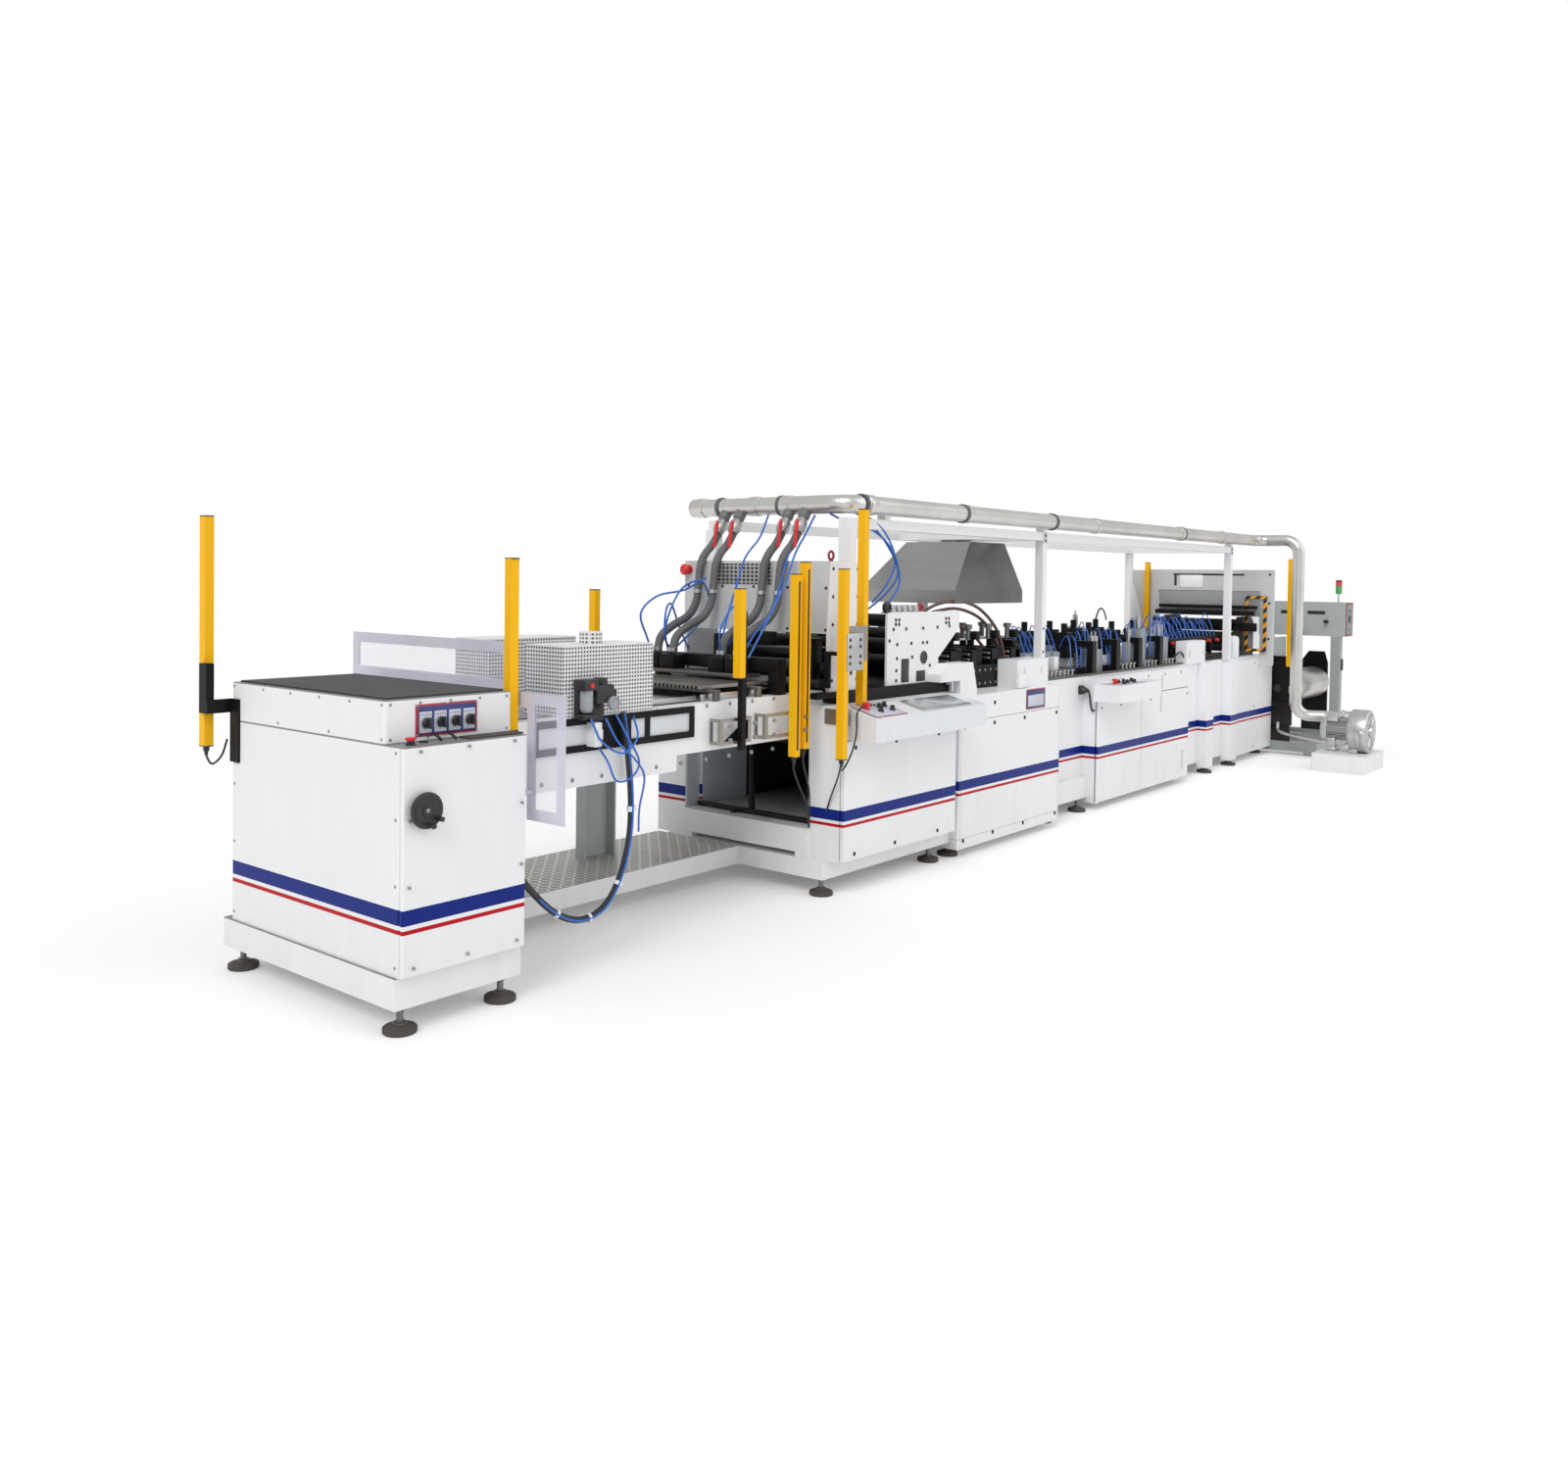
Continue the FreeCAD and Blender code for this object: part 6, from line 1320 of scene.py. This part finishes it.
LAMP_SEAM = 1452
lamp_pole = bare_metal("lamp_pole", (0.7, 0.7, 0.7), 0.3)
dress(
    "tower_lamp",
    lamp_pole,
    (lamp_green, lambda middle, outward: (middle[:, 2] > 1404) & (middle[:, 2] < LAMP_SEAM)),
    (lamp_red, lambda middle, outward: middle[:, 2] >= LAMP_SEAM),
)
lens_ribs = [point for low in range(3, 30, 6) for point in ((27, low), (25.6, low + 3))]
lens = [(0, 0), (26.4, 0), *lens_ribs, (27, 33), (26.4, 40), (0, 40)]
lathe("lamp_lens_green", lens, [(9640, -219, 1408)], UP, 28, lamp_green)
lathe("lamp_lens_red", lens, [(9640, -219, 1450)], UP, 28, lamp_red)
lamp_cap = [(0, 0), (27, 0), (27, 10), (20, 14), (0, 15)]
lathe("lamp_cap", lamp_cap, [(9640, -219, 1490)], UP, 28, black_plastic)

# The blower: a side channel blower of cast aluminium, its fan housing turned, its motor finned,
# with a terminal box on top, a curved outlet pipe and cast feet on a folded plinth.
cast_finish = bare_metal(
    "cast_aluminium", (0.66, 0.665, 0.67), 0.36, (1.0, 1.0, 1.0), 22.0, 0.015, "cast_grey",
)
FAN = (8370.0, -650.0, 311.0)
fan_profile = [
    (0, 0), (104, 0), (112, 10), (146, 14), (156, 22), (160, 32), (160, 62), (156.5, 64), (156.5, 67),
    (160, 69), (160, 118), (157, 126), (150, 131), (140, 131), (137, 125), (130, 125), (126, 131),
    (84, 134), (80, 128), (50, 128), (45, 147), (0, 149),
]
fan_profile = np.array(fan_profile) * [1.06, 1.18]
fan_shell = skin("blower_fan", [turned(fan_profile, [FAN], FRONT, 64)], cast_finish, sharp=28)
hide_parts("blower")
spoke_angle = np.radians(np.arange(12) * 30.0)
spoke_reach = np.array([52.0, 84.0, 138.0])[:, None]
spokes = [
    tube(np.array(FAN) + [0, -157, 0] + spoke_reach * [math.cos(a), 0, math.sin(a)], 4.5, 8)
    for a in spoke_angle
]
skin("blower_fan_ribs", spokes, cast_finish)
motor_profile = [
    (0, 0), (72, 0), (72, 150), (88, 152), (88, 164), (86, 184), (80, 198), (64, 206), (20, 208), (0, 208),
]
motor = turned(motor_profile, [(FAN[0], FAN[1] - 1, FAN[2])], BACK, 48)
fin_angle = np.linspace(0, 2 * np.pi, 160, endpoint=False)
fin_reach = 72 + 15 * (np.abs((np.arange(160) % 4) - 1.5) < 1)
fin_ring = np.stack([fin_reach * np.cos(fin_angle), 0 * fin_angle, fin_reach * np.sin(fin_angle)], axis=-1)
fin_rows = np.array([0.0, 1, 1, 0])[:, None, None] * fin_ring[None]
fin_rows[:, :, 1] = np.array([6.0, 6, 148, 148])[:, None]
skin("blower_motor", [motor, fin_rows + np.array(FAN)], cast_finish, sharp=28)
terminal_box = [(8300, -580, 378, 8372, -500, 432), (8294, -586, 430, 8378, -494, 438)]
boxes("blower_terminal_box", terminal_box, 5, cast_finish)
foot_blocks = [
    (8262, -735, 140.5, 8478, -668, 176), (8302, -566, 140.5, 8438, -488, 172),
    (8310, -560, 170, 8430, -494, 246), (8290, -720, 170, 8450, -680, 200),
]
boxes("blower_feet", foot_blocks, 8, cast_finish)
outlet = [
    (8300, -668, 290), (8250, -700, 300), (8212, -760, 318), (8206, -782, 296), (8208, -786, 250),
    (8240, -775, 216), (8290, -750, 206),
]
tubing("blower_outlet", [outlet], 22.0, 20, cast_finish)
port = [(0, -26), (52, -26), (55, 6), (55, 40), (62, 44), (62, 60), (48, 62), (0, 62)]
lathe("blower_port", port, [(8480, -626, 395)], BACK, 32, cast_finish)
dress("blower_plinth", white_coat)
drain = [
    (8922, 60, 272), (8916, 58, 214), (8860, 10, 190), (8700, -180, 184), (8520, -380, 190),
    (8400, -478, 208),
]
tubing("blower_drain", [drain], 15.0, 14, pipe_steel)

# Levelling feet: a turned pad with a rubber sole, and a threaded steel stem with its lock nut,
# screwed up into the frame of each cabinet.
PAD = [(0, 0), (52, 0), (55, 3), (55, 17), (52, 20), (34, 24), (27, 29), (0, 29)]
LINE_BREADTH = 1112
FEET = {
    "stacker_feet": [(45, 75, 87), (45, 1053, 87), (449, 75, 87), (449, 1053, 87)],
    "head_feet": [(2355, 110, 82), (3290, 110, 82), (3486, 110, 47), (4673, 153, 80), (5152, 153, 80)],
    "feed_feet": [(7368, 136, 44), (7906, 136, 44), (8823, 231, 80)],
}
for foot_node, foot_rows in FEET.items():
    if foot_node != "stacker_feet":
        foot_rows = foot_rows + [(x, LINE_BREADTH - y, top) for x, y, top in foot_rows]
    pads = [turned(PAD, [(x, y, 0)], UP, 32) for x, y, _ in foot_rows]
    stems = []
    for x, y, top in foot_rows:
        stem = [(0, 28), (24, 28), (24, 32), (20, 35), (11, 36), (11, top), (0, top)]
        stems.append(turned(stem, [(x, y, 0)], UP, 20))
        nut = [(0, top - 14), (19, top - 14), (19, top - 1), (0, top - 1)]
        stems.append(turned(nut, [(x, y, 0)], UP, 6))
    pad_piece = skin(foot_node + "_pads", pads, pad_rubber)
    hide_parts(foot_node)
    skin(foot_node + "_stems", stems, dark_steel)
